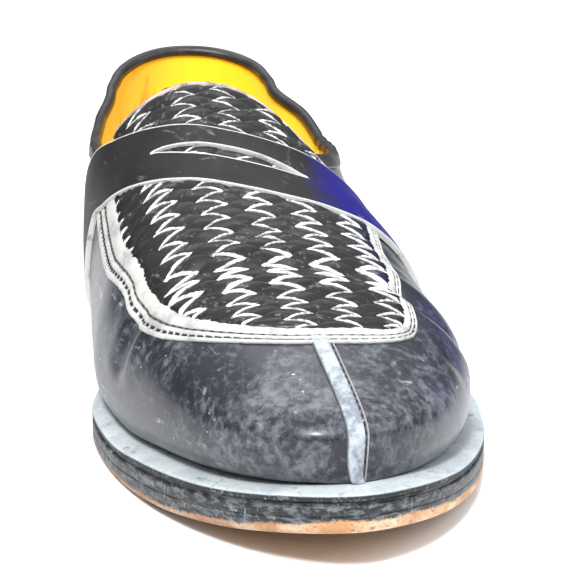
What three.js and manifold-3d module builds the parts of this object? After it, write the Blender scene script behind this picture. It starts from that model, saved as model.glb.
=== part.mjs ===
// Woven penny loafer, left shoe, worn. Millimetres, +Z up, toe at -Y, lateral side at +X.
// A station s runs along the shoe from the back of the heel (0) to the tip of the sole (length).
// Every outline and section below is a function of the station, worked out from the short tables.
import * as THREE from 'three';
import { mergeVertices } from 'three/addons/utils/BufferGeometryUtils.js';
import Module from 'manifold-3d';

const wasm = await Module();
wasm.setup();

// Driving dimensions
const LENGTH = 300;
const WALL = 2.2;
const FIT_GAP = 0.3;
const WELT_THICK = 3.5;
const WELT_SLOPE = 1.5;
const HEEL_BREAST = 66;
const TOP_LIFT_THICK = 6;
const INSOLE_ABOVE_FEATHER = 1.2;
const INSOLE_GAPS = { foot: 2, top: 3.5 };
const SADDLE_THICK = 1.7;
const SEAM_RAISE = 1.0;
const SEAM_WIDTH = 6;
const TOE_STRIP_RAISE = 0.9;
const TOE_STRIP_HALF_WIDTH = 2.4;
const BINDING_RAISE = 0.7;
const BINDING_DEPTH = 4.5;
const WEAVE_START = -0.9;
const WEAVE_ACROSS = 6.65;
const WEAVE_ALONG = 3.3;
const WEAVE_CROWN = 1.35;
const WEAVE_EDGE = 1.0;
const WEAVE_DIP = 0.1;
const STRIP_SHARE = 0.8;
const STRIP_CLEAR = 1.2;
const TONGUE_TUCK = 8;
const FORM_DROP = 9;
const SEAM_FLOOR = 38;
const OVERLAP = 0.5;
const HEEL_LEAST = 1;
const CLOSING_POWER = 0.9;
const SHARE_LIMIT = 0.999;
const VERTEX_MERGE = 1e-4;

// Insets of the heel's rings, of the top lift's rings, and the bow of the breast
const HEEL_INSET = { foot: 2.2, seat: 0.9 };
const LIFT_INSET = { foot: 2.6, side: 1.9, chamfer: 0.8 };
const BREAST = { bow: 4, half: 60 };
// Groove under the welt, rounded lower corner of the sole, and the rounded outer edge of the welt
const GROOVE = { below: 1.0, depth: 0.9 };
const SOLE_CORNER = 2.2;
const CORNER_MIDDLE = 1 - Math.SQRT1_2;
const WELT_EDGE = { in: 0.5, down: 0.4 };

// Steps of the surfaces: around the toe, along a side, around the heel, up the lower wall, over the top
const STEPS = { toe: 12, side: 12, heel: 7, lower: 3, top: 9 };
// Steps of the cut lines: collar, saddle, slot, tongue, toe strip, apron side and apron front
const CUTS = { collar: 18, saddle: 29, slot: 10, tongue: 18, strip: 6, side: 7, front: 8, breast: 12 };

const LATERAL = 1;
const MEDIAL = -1;

// Half widths of the sole from its own axis, and that axis
const SOLE_ROWS = [
  { s: 38, lateral: 35.0, medial: 33.5 },
  { s: 70, lateral: 36.5, medial: 31.5 },
  { s: 100, lateral: 40.5, medial: 31.0 },
  { s: 130, lateral: 47.5, medial: 35.5 },
  { s: 160, lateral: 56.3, medial: 44.0 },
  { s: 192, lateral: 63.5, medial: 50.8 },
];
const SOLE_AXIS_ROWS = [
  { s: 0, x: -0.5 },
  { s: 110, x: -3.0 },
  { s: 190, x: -3.5 },
  { s: 300, x: 1.0 },
];
// Half widths of the upper at its widest, measured from the ridge of the instep, and that ridge in plan
const UPPER_ROWS = [
  { s: 38, lateral: 34.0, medial: 28.5 },
  { s: 60, lateral: 43.0, medial: 32.0 },
  { s: 80, lateral: 48.0, medial: 32.6 },
  { s: 100, lateral: 51.8, medial: 32.5 },
  { s: 120, lateral: 54.8, medial: 34.0 },
  { s: 150, lateral: 58.8, medial: 36.7 },
  { s: 175, lateral: 62.3, medial: 39.0 },
  { s: 195, lateral: 61.7, medial: 40.6 },
];
const RIDGE_ROWS = [
  { s: 0, x: 0.5 },
  { s: 60, x: -6.0 },
  { s: 120, x: -13.5 },
  { s: 180, x: -13.0 },
  { s: 240, x: -7.0 },
  { s: 300, x: -2.5 },
];
// Heights along the shoe: underside, feather line where the upper meets the welt, height of the widest
// line above the feather, and crest of the closed last
const HEIGHT_ROWS = [
  { s: 0, under: 25.5, feather: 35.0, widest: 18, crest: 150 },
  { s: 35, under: 25.0, feather: 34.0, widest: 27, crest: 142 },
  { s: 66, under: 22.0, feather: 30.2, widest: 36, crest: 130 },
  { s: 90, under: 14.5, feather: 24.5, widest: 36, crest: 114 },
  { s: 120, under: 6.2, feather: 17.8, widest: 22, crest: 96 },
  { s: 145, under: 1.2, feather: 13.6, widest: 16, crest: 84.5 },
  { s: 165, under: 0, feather: 12.1, widest: 14, crest: 77 },
  { s: 215, under: 0, feather: 12.0, widest: 12, crest: 62.3 },
  { s: 240, under: 1.2, feather: 14.4, widest: 11.6, crest: 57.5 },
  { s: 270, under: 5.4, feather: 18.0, widest: 11, crest: 53.2 },
  { s: 300, under: 12.2, feather: 24.3, widest: 11, crest: 50 },
];
// Roundness of the sections above the widest line, and how steeply the wall leaves the feather
const ROUND_ROWS = [
  { s: 0, across: 2.0, up: 1.3, lift: 1.0 },
  { s: 80, across: 2.0, up: 2.5, lift: 1.05 },
  { s: 120, across: 1.9, up: 2.0, lift: 1.3 },
  { s: 150, across: 2.0, up: 1.9, lift: 1.5 },
  { s: 200, across: 2.3, up: 1.9, lift: 1.7 },
  { s: 260, across: 2.5, up: 2.0, lift: 1.7 },
];
// Shelf of welt outside the feather line
const SHELF_ROWS = [
  { s: 0, lateral: 2.2, medial: 2.2 },
  { s: 60, lateral: 2.6, medial: 2.6 },
  { s: 120, lateral: 4.5, medial: 4.2 },
  { s: 160, lateral: 7.0, medial: 5.5 },
  { s: 200, lateral: 8.8, medial: 6.5 },
  { s: 240, lateral: 9.8, medial: 9.2 },
  { s: 270, lateral: 9.0, medial: 9.8 },
  { s: 300, lateral: 7.2, medial: 7.2 },
];
// Top edge of the collar seen from the side; ahead of its last row the throat runs on level
const COLLAR_ROWS = [
  { s: 0, lateral: 91.5, medial: 91.5 },
  { s: 12, lateral: 87, medial: 87 },
  { s: 35, lateral: 79.8, medial: 79.8 },
  { s: 60, lateral: 72.5, medial: 73 },
  { s: 85, lateral: 67, medial: 71 },
  { s: 106, lateral: 67.5, medial: 71 },
  { s: 128, lateral: 71, medial: 73 },
  { s: 148, lateral: 75.5, medial: 75.5 },
];
// Saddle seen from above: its rear and front edges across the shoe
const SADDLE_ROWS = [
  { x: -70, rear: 100, front: 128 },
  { x: -46, rear: 107, front: 134 },
  { x: -43, rear: 113, front: 143.5 },
  { x: -37, rear: 126, front: 156 },
  { x: -31, rear: 134.5, front: 165 },
  { x: -24, rear: 141, front: 171.8 },
  { x: -15, rear: 145.8, front: 177 },
  { x: -3, rear: 149.3, front: 181.8 },
  { x: 8, rear: 150.5, front: 184.5 },
  { x: 20, rear: 149.8, front: 185 },
  { x: 30, rear: 150.5, front: 182.6 },
  { x: 38, rear: 149, front: 180 },
  { x: 46, rear: 146, front: 177 },
  { x: 75, rear: 140, front: 172 },
];
// Crescent slot in the saddle, and the rounded top edge of the tongue, both seen from above
const SLOT_ROWS = [
  { x: -29, rear: 149.8, front: 150.8 },
  { x: -20, rear: 154, front: 158.8 },
  { x: -9, rear: 157.5, front: 163.8 },
  { x: 2, rear: 161.2, front: 167.3 },
  { x: 13, rear: 168, front: 169.4 },
];
const TONGUE_ROWS = [
  { x: -37, tip: 120 },
  { x: -30, tip: 122.3 },
  { x: -22, tip: 123.2 },
  { x: -13, tip: 123 },
  { x: -4, tip: 122.8 },
  { x: 4, tip: 124.7 },
  { x: 12, tip: 129.5 },
  { x: 19, tip: 136.5 },
  { x: 25, tip: 144 },
  { x: 29, tip: 150 },
];
// Apron seen from above: each side by its table, then a quarter superellipse to the tip
const APRON_LATERAL_ROWS = [
  { s: 150, x: 36.0 },
  { s: 180, x: 33.0 },
  { s: 203, x: 31.0 },
  { s: 222, x: 30.5 },
  { s: 238, x: 30.0 },
];
const APRON_MEDIAL_ROWS = [
  { s: 150, x: -46.5 },
  { s: 180, x: -47.5 },
  { s: 203, x: -45.0 },
];
const APRON = { middle: -3, tip: 260, lateralPower: 2.3, medialPower: 2.0 };

// Monotone cubic through the rows of a table: no overshoot between them
function curve(rows, column, { key = 's', levelEnds = false } = {}) {
  const at = rows.map((row) => row[key]);
  const value = rows.map((row) => row[column]);
  const last = at.length - 1;
  const chord = value.slice(1).map((v, i) => (v - value[i]) / (at[i + 1] - at[i]));
  const slope = value.map((_, i) => {
    if (i === 0) return levelEnds ? 0 : chord[0];
    if (i === last) return levelEnds ? 0 : chord[last - 1];
    if (chord[i - 1] * chord[i] <= 0) return 0;
    return (2 * chord[i - 1] * chord[i]) / (chord[i - 1] + chord[i]);
  });
  return (position) => {
    const p = Math.min(Math.max(position, at[0]), at[last]);
    const found = at.findIndex((edge, k) => k > 0 && p <= edge);
    const i = Math.max(found - 1, 0);
    const span = at[i + 1] - at[i];
    const t = (p - at[i]) / span;
    const hermite = [2 * t ** 3 - 3 * t ** 2 + 1, t ** 3 - 2 * t ** 2 + t, 3 * t ** 2 - 2 * t ** 3, t ** 3 - t ** 2];
    return hermite[0] * value[i] + hermite[1] * span * slope[i]
      + hermite[2] * value[i + 1] + hermite[3] * span * slope[i + 1];
  };
}

const underside = curve(HEIGHT_ROWS, 'under');
const featherHeight = curve(HEIGHT_ROWS, 'feather');
const widestAbove = curve(HEIGHT_ROWS, 'widest');
const crestHeight = curve(HEIGHT_ROWS, 'crest');
const roundAcross = curve(ROUND_ROWS, 'across');
const roundUp = curve(ROUND_ROWS, 'up');
const wallLift = curve(ROUND_ROWS, 'lift');
const shelfWidth = { [LATERAL]: curve(SHELF_ROWS, 'lateral'), [MEDIAL]: curve(SHELF_ROWS, 'medial') };
const collarHeight = { [LATERAL]: curve(COLLAR_ROWS, 'lateral'), [MEDIAL]: curve(COLLAR_ROWS, 'medial') };
const saddleRear = curve(SADDLE_ROWS, 'rear', { key: 'x' });
const saddleFront = curve(SADDLE_ROWS, 'front', { key: 'x' });

// A plan shape: a centre line, half widths along the sides, and superellipse ends
function planShape(rows, axisRows, ends) {
  const levelEnds = true;
  const half = {
    [LATERAL]: curve(rows, 'lateral', { levelEnds }),
    [MEDIAL]: curve(rows, 'medial', { levelEnds }),
  };
  const axis = curve(axisRows, 'x');
  return { half, axis, ...ends };
}
const SOLE = planShape(SOLE_ROWS, SOLE_AXIS_ROWS, {
  heelStart: 38, toeStart: 192, back: 0, tip: LENGTH,
  toePower: { [LATERAL]: 1.62, [MEDIAL]: 1.85 }, heelPower: 2.15,
});
const UPPER = planShape(UPPER_ROWS, RIDGE_ROWS, {
  heelStart: 38, toeStart: 195, back: 2.5, tip: 293.5,
  toePower: { [LATERAL]: 1.82, [MEDIAL]: 2.15 }, heelPower: 2.15,
});

// The places around a plan shape, from the back of the heel along the lateral side to the toe and back
function places() {
  const half = [];
  for (let i = 0; i < STEPS.heel; i += 1) half.push({ zone: 'heel', u: i / STEPS.heel });
  for (let i = 0; i < STEPS.side; i += 1) half.push({ zone: 'side', u: i / STEPS.side });
  for (let i = 0; i < STEPS.toe; i += 1) half.push({ zone: 'toe', u: i / STEPS.toe });
  const lateral = half.map((place) => ({ ...place, side: LATERAL }));
  const medial = half.slice(1).reverse().map((place) => ({ ...place, side: MEDIAL }));
  return [...lateral, { zone: 'toe', u: 1, side: LATERAL }, ...medial];
}
const PLACES = places();
const COUNT = PLACES.length;
const mirror = (i) => (COUNT - i) % COUNT;

// Point of a plan shape at one place, grown outward, and scaled toward its centre line by the share rho
function planPoint(shape, place, grow = 0, rho = 1) {
  const { side, u } = place;
  const angle = (u * Math.PI) / 2;
  if (place.zone === 'side') {
    const s = shape.heelStart + (shape.toeStart - shape.heelStart) * u;
    return { s, x: shape.axis(s) + side * rho * (shape.half[side](s) + grow) };
  }
  const toe = place.zone === 'toe';
  const power = toe ? shape.toePower[side] : shape.heelPower;
  const start = toe ? shape.toeStart : shape.heelStart;
  const reach = toe ? shape.tip - shape.toeStart + grow : shape.back - shape.heelStart - grow;
  const along = toe ? Math.sin(angle) : Math.cos(angle);
  const out = toe ? Math.cos(angle) : Math.sin(angle);
  const s = start + reach * rho * Math.max(along, 0) ** (2 / power);
  const width = (shape.half[side](start) + grow) * rho * Math.max(out, 0) ** (2 / power);
  return { s, x: shape.axis(s) + side * width };
}

// Ring of plan points drawn in from the edge of the sole by a distance that may vary by station and side
function soleRing(inset) {
  const ring = PLACES.map((place) => planPoint(SOLE, place));
  return ring.map((point, i) => {
    const before = ring[(i + COUNT - 1) % COUNT];
    const after = ring[(i + 1) % COUNT];
    const along = new THREE.Vector2(after.x - before.x, after.s - before.s).normalize();
    const distance = typeof inset === 'function' ? inset(point.s, PLACES[i].side) : inset;
    return { x: point.x - along.y * distance, s: point.s + along.x * distance };
  });
}

const atHeight = (ring, height) => ring.map(({ x, s }) => [x, LENGTH / 2 - s, height(s)]);

// Solid from vertices and triangles whose shared corners are merged and whose empty triangles are dropped
function solidFrom(positions, indices) {
  const geometry = new THREE.BufferGeometry();
  geometry.setAttribute('position', new THREE.BufferAttribute(new Float32Array(positions.flat()), 3));
  geometry.setIndex(indices);
  const merged = mergeVertices(geometry, VERTEX_MERGE);
  const corners = merged.index.array;
  const kept = [];
  for (let i = 0; i < corners.length; i += 3) {
    const [a, b, c] = [corners[i], corners[i + 1], corners[i + 2]];
    if (a !== b && b !== c && c !== a) kept.push(a, b, c);
  }
  const mesh = new wasm.Mesh({
    numProp: 3,
    vertProperties: new Float32Array(merged.attributes.position.array),
    triVerts: new Uint32Array(kept),
  });
  return new wasm.Manifold(mesh);
}

function wallBetween(indices, low, high) {
  for (let i = 0; i < COUNT; i += 1) {
    const next = (i + 1) % COUNT;
    const quad = [low + i, high + i, high + next, low + next];
    indices.push(quad[0], quad[1], quad[2], quad[0], quad[2], quad[3]);
  }
}

function capAcross(indices, base, up) {
  for (let i = 0; i < COUNT / 2; i += 1) {
    const quad = [base + i, base + i + 1, base + mirror(i + 1), base + mirror(i)];
    if (up) quad.reverse();
    indices.push(quad[0], quad[1], quad[2], quad[0], quad[2], quad[3]);
  }
}

// Solid through a stack of rings from the lowest to the highest, closed across at both ends
function stack(rings) {
  const indices = [];
  capAcross(indices, 0, false);
  for (let level = 0; level + 1 < rings.length; level += 1) {
    wallBetween(indices, level * COUNT, (level + 1) * COUNT);
  }
  capAcross(indices, (rings.length - 1) * COUNT, true);
  return solidFrom(rings.flat(), indices);
}

// Endless band: rings in order around its section, the last one joined to the first
function hoop(rings) {
  const indices = [];
  rings.forEach((_, level) => wallBetween(indices, level * COUNT, ((level + 1) % rings.length) * COUNT));
  return solidFrom(rings.flat(), indices);
}

// Straight-sided solid over a closed outline: points are [across, along] pairs, placed by the axes given
function prism(outline, low, high, place) {
  const shape = new THREE.Shape(outline.map(([a, b]) => new THREE.Vector2(a, b)));
  const geometry = new THREE.ExtrudeGeometry(shape, { depth: high - low, bevelEnabled: false });
  geometry.translate(0, 0, low);
  geometry.applyMatrix4(place);
  geometry.deleteAttribute('normal');
  geometry.deleteAttribute('uv');
  const flat = geometry.index ? geometry.toNonIndexed() : geometry;
  const array = flat.attributes.position.array;
  const positions = [];
  for (let i = 0; i < array.length; i += 3) positions.push([array[i], array[i + 1], array[i + 2]]);
  return solidFrom(positions, positions.map((_, i) => i));
}
// Outline in (x, s) pulled up along Z, and outline in (s, z) pulled across along X
const PLAN = new THREE.Matrix4().set(1, 0, 0, 0, 0, -1, 0, LENGTH / 2, 0, 0, -1, 0, 0, 0, 0, 1);
const SIDE_VIEW = new THREE.Matrix4().set(0, 0, -1, 0, -1, 0, 0, LENGTH / 2, 0, 1, 0, 0, 0, 0, 0, 1);
const ABOVE_ALL = 190;
const BEHIND_HEEL = -20;
const BESIDE = 90;
const planPrism = (outline, low = 0, high = ABOVE_ALL) => prism(outline, -high, -low, PLAN);
const sidePrism = (outline, from, to) => prism(outline, -to, -from, SIDE_VIEW);

// The last grown by a thickness: the closed form that every layer of the upper is cut from
function lastForm(grow, drop = 0) {
  const rings = [];
  const feather = soleRing((s, side) => shelfWidth[side](s) - grow);
  if (drop > 0) rings.push(atHeight(feather, (s) => featherHeight(s) - drop));
  const widest = PLACES.map((place) => planPoint(UPPER, place, grow));
  const base = (s) => featherHeight(s) + FIT_GAP;
  for (let level = 0; level <= STEPS.lower; level += 1) {
    const v = level / (STEPS.lower + 1);
    const out = 1 - (1 - v) ** 2;
    rings.push(feather.map((foot, i) => {
      const x = foot.x + (widest[i].x - foot.x) * out;
      const s = foot.s + (widest[i].s - foot.s) * out;
      return [x, LENGTH / 2 - s, base(s) + widestAbove(s) * v ** wallLift(s)];
    }));
  }
  for (let level = 0; level <= STEPS.top; level += 1) {
    const rho = level === STEPS.top ? 0 : Math.cos((level / STEPS.top) * (Math.PI / 2)) ** CLOSING_POWER;
    rings.push(PLACES.map((place) => {
      const { x, s } = planPoint(UPPER, place, grow, rho);
      return [x, LENGTH / 2 - s, topHeight(s, rho, grow)];
    }));
  }
  return stack(rings);
}

// Height of the closed last at a station, at the share rho of the way from its ridge to its widest line
function topHeight(s, rho, grow) {
  const low = featherHeight(s) + FIT_GAP + widestAbove(s);
  return low + (crestHeight(s) + grow - low) * (1 - rho ** roundAcross(s)) ** (1 / roundUp(s));
}

// Share of the way from the ridge to the widest line of the upper, for any point seen from above
function shareAt(x, s) {
  const side = x >= UPPER.axis(s) ? LATERAL : MEDIAL;
  const clamped = Math.min(Math.max(s, UPPER.heelStart), UPPER.toeStart);
  const across = Math.abs(x - UPPER.axis(s)) / UPPER.half[side](clamped);
  const along = Math.max(s - UPPER.toeStart, 0) / (UPPER.tip - UPPER.toeStart);
  const power = UPPER.toePower[side];
  return along > 0 ? (across ** power + along ** power) ** (1 / power) : across;
}
const surfaceHeight = (x, s) => topHeight(s, Math.min(shareAt(x, s), SHARE_LIMIT), 0);

const lastOf = (list) => list[list.length - 1];

// Evenly spaced numbers from a to b
const spread = (a, b, count) => Array.from({ length: count + 1 }, (_, i) => a + ((b - a) * i) / count);

// Closed loop of (x, s) points between two edges, at the places across the shoe that are given
function bandOutline(across, rearEdge, frontEdge) {
  const back = across.map((x) => [x, rearEdge(x)]);
  const ahead = across.map((x) => [x, frontEdge(x)]).reverse();
  return [...back, ...ahead];
}

// One side of the apron: its edge at a station, and its line up to the tip drawn in by an inset
function apronSide(rows, power) {
  const side = curve(rows, 'x');
  const rear = rows[0].s;
  const start = lastOf(rows).s;
  const half = side(start) - APRON.middle;
  const share = (s) => Math.min((s - start) / (APRON.tip - start), 1);
  const edge = (s) => (s <= start ? side(s) : APRON.middle + half * (1 - share(s) ** power) ** (1 / power));
  const line = (inset) => {
    const inward = -Math.sign(half) * inset;
    const straight = spread(rear, start, CUTS.side).slice(0, -1).map((s) => [side(s) + inward, s]);
    const round = spread(0, Math.PI / 2, CUTS.front).map((angle) => [
      APRON.middle + (half + inward) * Math.max(Math.cos(angle), 0) ** (2 / power),
      start + (APRON.tip - start - inset) * Math.sin(angle) ** (2 / power),
    ]);
    return [...straight, ...round];
  };
  return { edge, line };
}
const apronLateral = apronSide(APRON_LATERAL_ROWS, APRON.lateralPower);
const apronMedial = apronSide(APRON_MEDIAL_ROWS, APRON.medialPower);
const apronOutline = (inset) => [...apronLateral.line(inset), ...apronMedial.line(inset).reverse().slice(1)];

// Diagonal weave: one raised diamond for each strip where it passes over, on a grid of half repeats
// whose crossings stand at even places and whose gaps meet at odd ones. Only crossings inside are kept.
function weave(inside, sink) {
  const across = (i) => WEAVE_START + i * WEAVE_ACROSS;
  const along = (j) => j * WEAVE_ALONG;
  const positions = [];
  const indices = [];
  const corners = new Map();
  const edges = new Map();
  const point = (i, j, raise) => {
    const x = across(i);
    const s = along(j);
    return [x, LENGTH / 2 - s, surfaceHeight(x, Math.min(s, UPPER.tip - 1)) + raise];
  };
  const addPoint = (i, j, raise) => positions.push(point(i, j, raise)) - 1;
  // A gap corner is shared by the crossings around it: one point on top and one below
  const cornerAt = (i, j) => {
    const key = `${i},${j}`;
    if (!corners.has(key)) {
      corners.set(key, { top: addPoint(i, j, WEAVE_DIP - sink), low: addPoint(i, j, -WALL / 2 - sink) });
    }
    return corners.get(key);
  };
  const around = [[1, 0], [0, -1], [-1, 0], [0, 1]];
  const reach = Math.ceil(BESIDE / WEAVE_ACROSS);
  for (let j = 0; along(j) < LENGTH; j += 1) {
    for (let i = -reach; i <= reach; i += 1) {
      if ((i + j) % 2 !== 0 || !inside(across(i), along(j))) continue;
      const ring = around.map(([di, dj]) => cornerAt(i + di, j + dj));
      const plate = around.map(([di, dj]) => addPoint(i + di * STRIP_SHARE, j + dj * STRIP_SHARE, WEAVE_EDGE - sink));
      const middle = addPoint(i, j, WEAVE_CROWN - sink);
      ring.forEach((corner, k) => {
        const n = (k + 1) % 4;
        const next = ring[n];
        indices.push(middle, plate[k], plate[n]);
        indices.push(corner.top, next.top, plate[n], corner.top, plate[n], plate[k]);
        edges.set(`${corner.top}>${next.top}`, [corner, next]);
      });
      indices.push(ring[0].low, ring[2].low, ring[1].low, ring[0].low, ring[3].low, ring[2].low);
    }
  }
  edges.forEach(([a, b]) => {
    if (edges.has(`${b.top}>${a.top}`)) return;
    indices.push(a.top, b.low, b.top, a.top, a.low, b.low);
  });
  return solidFrom(positions, indices);
}

// Room above the collar line of each side, seen from the side; the line may be lowered by a depth
function aboveCollar(lower) {
  const first = COLLAR_ROWS[0].s;
  const last = lastOf(COLLAR_ROWS).s;
  const split = UPPER.axis(last);
  const room = (side, from, to) => {
    const height = (s) => collarHeight[side](s) - lower;
    const line = spread(first, last, CUTS.collar).map((s) => [s, height(s)]);
    const outline = [[BEHIND_HEEL, height(first)], ...line, [LENGTH, height(last)], [LENGTH, ABOVE_ALL],
      [BEHIND_HEEL, ABOVE_ALL]];
    return sidePrism(outline, from, to);
  };
  return room(LATERAL, split, BESIDE).add(room(MEDIAL, -BESIDE, split + FIT_GAP));
}

// Plan region behind a line that runs a distance ahead of the saddle's rear edge, or ahead of its front
const SADDLE_SPAN = spread(SADDLE_ROWS[0].x, lastOf(SADDLE_ROWS).x, CUTS.saddle);
function behindSaddle(ahead) {
  const line = SADDLE_SPAN.map((x) => [x, saddleRear(x) + ahead]);
  return planPrism([[-BESIDE, BEHIND_HEEL], [BESIDE, BEHIND_HEEL], [BESIDE, lastOf(line)[1]],
    ...line.reverse(), [-BESIDE, lastOf(line)[1]]]);
}
function aheadOfSaddle(ahead) {
  const line = SADDLE_SPAN.map((x) => [x, saddleFront(x) + ahead]);
  return planPrism([...line, [lastOf(line)[0], LENGTH], [line[0][0], LENGTH]], SEAM_FLOOR);
}

const outerForm = lastForm(0);
const innerForm = lastForm(-WALL, FORM_DROP);
const throat = aboveCollar(0).intersect(behindSaddle(TONGUE_TUCK));

// Upper: one wall of leather with the woven apron, its seam, the toe strip and the bound collar raised on it
function makeUpper() {
  const ahead = aheadOfSaddle(FIT_GAP);
  const seamRing = planPrism(apronOutline(0)).subtract(planPrism(apronOutline(SEAM_WIDTH)));
  const seam = lastForm(SEAM_RAISE).intersect(seamRing).intersect(ahead);
  const margin = SEAM_WIDTH - WEAVE_ACROSS;
  const onApron = (x, s) => s > saddleFront(x) - WEAVE_ALONG && s < APRON.tip - SEAM_WIDTH + WEAVE_ALONG
    && x < apronLateral.edge(s) - margin && x > apronMedial.edge(s) + margin;
  const strips = weave(onApron, 0).intersect(planPrism(apronOutline(SEAM_WIDTH - OVERLAP))).intersect(ahead);
  const stations = spread(APRON.tip - SEAM_WIDTH / 2, LENGTH, CUTS.strip);
  const leftEdge = stations.map((s) => [UPPER.axis(s) - TOE_STRIP_HALF_WIDTH, s]);
  const rightEdge = stations.map((s) => [UPPER.axis(s) + TOE_STRIP_HALF_WIDTH, s]);
  const toeStrip = lastForm(TOE_STRIP_RAISE).intersect(planPrism([...rightEdge, ...leftEdge.reverse()]));
  const bindingZone = aboveCollar(BINDING_DEPTH).intersect(behindSaddle(-FIT_GAP));
  const binding = lastForm(BINDING_RAISE).intersect(bindingZone);
  return outerForm.add(seam).add(strips).add(toeStrip).add(binding).subtract(innerForm).subtract(throat);
}

// Saddle: a strap over the instep, down to the welt on both sides, with its crescent slot
function makeSaddle() {
  const layer = lastForm(FIT_GAP + SADDLE_THICK).subtract(lastForm(FIT_GAP, FORM_DROP));
  const band = planPrism(bandOutline(SADDLE_SPAN, saddleRear, saddleFront));
  const slotRear = curve(SLOT_ROWS, 'rear', { key: 'x' });
  const slotFront = curve(SLOT_ROWS, 'front', { key: 'x' });
  const slotSpan = spread(SLOT_ROWS[0].x, lastOf(SLOT_ROWS).x, CUTS.slot);
  return layer.intersect(band).subtract(planPrism(bandOutline(slotSpan, slotRear, slotFront)));
}

// Tongue: the woven panel carried on under the saddle and up out of the throat
function makeTongue() {
  const sheet = lastForm(-FIT_GAP).subtract(lastForm(-WALL, FORM_DROP));
  const room = aboveCollar(-OVERLAP).intersect(behindSaddle(TONGUE_TUCK - FIT_GAP));
  const tip = curve(TONGUE_ROWS, 'tip', { key: 'x' });
  const first = TONGUE_ROWS[0].x;
  const last = lastOf(TONGUE_ROWS).x;
  const edge = spread(first, last, CUTS.tongue).map((x) => [x, tip(x)]);
  const outline = [...edge, [last, LENGTH], [first, LENGTH]];
  const inReach = (x, s) => x > first && x < last && s > tip(x) - WEAVE_ALONG && s < saddleRear(x) + WEAVE_ALONG;
  const strips = weave(inReach, FIT_GAP).intersect(behindSaddle(-STRIP_CLEAR));
  return sheet.add(strips).intersect(room).intersect(planPrism(outline));
}

const outsoleTop = (s) => featherHeight(s) - WELT_THICK;

// Outsole: one slab with a groove under the welt, a proud edge and a rounded lower corner
function makeOutsole() {
  const grooveTop = (s) => outsoleTop(s) - GROOVE.below;
  return stack([
    atHeight(soleRing(SOLE_CORNER), underside),
    atHeight(soleRing(SOLE_CORNER * CORNER_MIDDLE), (s) => underside(s) + SOLE_CORNER * CORNER_MIDDLE),
    atHeight(soleRing(0), (s) => underside(s) + SOLE_CORNER),
    atHeight(soleRing(0), (s) => grooveTop(s) - GROOVE.depth / 2),
    atHeight(soleRing(GROOVE.depth), grooveTop),
    atHeight(soleRing(GROOVE.depth), (s) => outsoleTop(s) - FIT_GAP),
  ]);
}

// Welt: a band around the shoe, flat under the wall of the upper and sloping down to its outer edge
function makeWelt() {
  const innerEdge = (s, side) => shelfWidth[side](s) + WALL + FIT_GAP;
  const crown = (s, side) => shelfWidth[side](s) - FIT_GAP;
  return hoop([
    atHeight(soleRing(innerEdge), outsoleTop),
    atHeight(soleRing(WELT_EDGE.in), outsoleTop),
    atHeight(soleRing(0), (s) => outsoleTop(s) + WELT_EDGE.down),
    atHeight(soleRing(0), (s) => featherHeight(s) - WELT_SLOPE),
    atHeight(soleRing(WELT_EDGE.in), (s) => featherHeight(s) - WELT_SLOPE + WELT_EDGE.down),
    atHeight(soleRing(crown), featherHeight),
    atHeight(soleRing(innerEdge), featherHeight),
  ]);
}

// Insole: fills the welt's ring and carries the foot inside the wall of the upper
function makeInsole() {
  const edge = (gaps) => soleRing((s, side) => shelfWidth[side](s) + WALL + FIT_GAP * gaps);
  return stack([
    atHeight(edge(INSOLE_GAPS.foot), outsoleTop),
    atHeight(edge(INSOLE_GAPS.top), (s) => featherHeight(s) + INSOLE_ABOVE_FEATHER),
  ]);
}

// Heel: the seat's outline drawn in a little toward the ground, with a curved breast
function heelZone() {
  const { bow, half } = BREAST;
  const breast = spread(-half, half, CUTS.breast).map((x) => [x, HEEL_BREAST - bow * (1 - (x / half) ** 2)]);
  return planPrism([[-half, BEHIND_HEEL], [half, BEHIND_HEEL], ...breast.reverse()], BEHIND_HEEL);
}
function makeHeel() {
  const bottom = TOP_LIFT_THICK + FIT_GAP;
  return stack([
    atHeight(soleRing(HEEL_INSET.foot), () => bottom),
    atHeight(soleRing(HEEL_INSET.seat), (s) => Math.max(underside(s) - FIT_GAP, bottom + HEEL_LEAST)),
  ]).intersect(heelZone());
}
function makeTopLift() {
  return stack([
    atHeight(soleRing(LIFT_INSET.foot), () => 0),
    atHeight(soleRing(LIFT_INSET.side), () => LIFT_INSET.chamfer),
    atHeight(soleRing(LIFT_INSET.side), () => TOP_LIFT_THICK),
  ]).intersect(heelZone());
}

function meshOf(name, solid, look) {
  const { vertProperties, triVerts } = solid.getMesh();
  const geometry = new THREE.BufferGeometry();
  geometry.setAttribute('position', new THREE.BufferAttribute(new Float32Array(vertProperties), 3));
  geometry.setIndex(new THREE.BufferAttribute(new Uint32Array(triVerts), 1));
  geometry.computeVertexNormals();
  const mesh = new THREE.Mesh(geometry, new THREE.MeshStandardMaterial({ metalness: 0, ...look }));
  mesh.name = name;
  return mesh;
}

const BLACK_LEATHER = { color: 0x17181d, roughness: 0.38 };
const SADDLE_LEATHER = { color: 0x1b1b22, roughness: 0.42 };
const SOLE_EDGE = { color: 0x1a1917, roughness: 0.55 };
const WELT_GREY = { color: 0x7f858c, roughness: 0.6 };
const STACKED_HEEL = { color: 0x1c1a18, roughness: 0.55 };
const RUBBER = { color: 0x121212, roughness: 0.8 };
const SOCK_YELLOW = { color: 0xd9a520, roughness: 0.7 };

const pieces = [
  meshOf('outsole', makeOutsole(), SOLE_EDGE),
  meshOf('welt', makeWelt(), WELT_GREY),
  meshOf('heel', makeHeel(), STACKED_HEEL),
  meshOf('top_lift', makeTopLift(), RUBBER),
  meshOf('insole', makeInsole(), SOCK_YELLOW),
  meshOf('upper', makeUpper(), BLACK_LEATHER),
  meshOf('saddle', makeSaddle(), SADDLE_LEATHER),
  meshOf('tongue', makeTongue(), BLACK_LEATHER),
];

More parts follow.
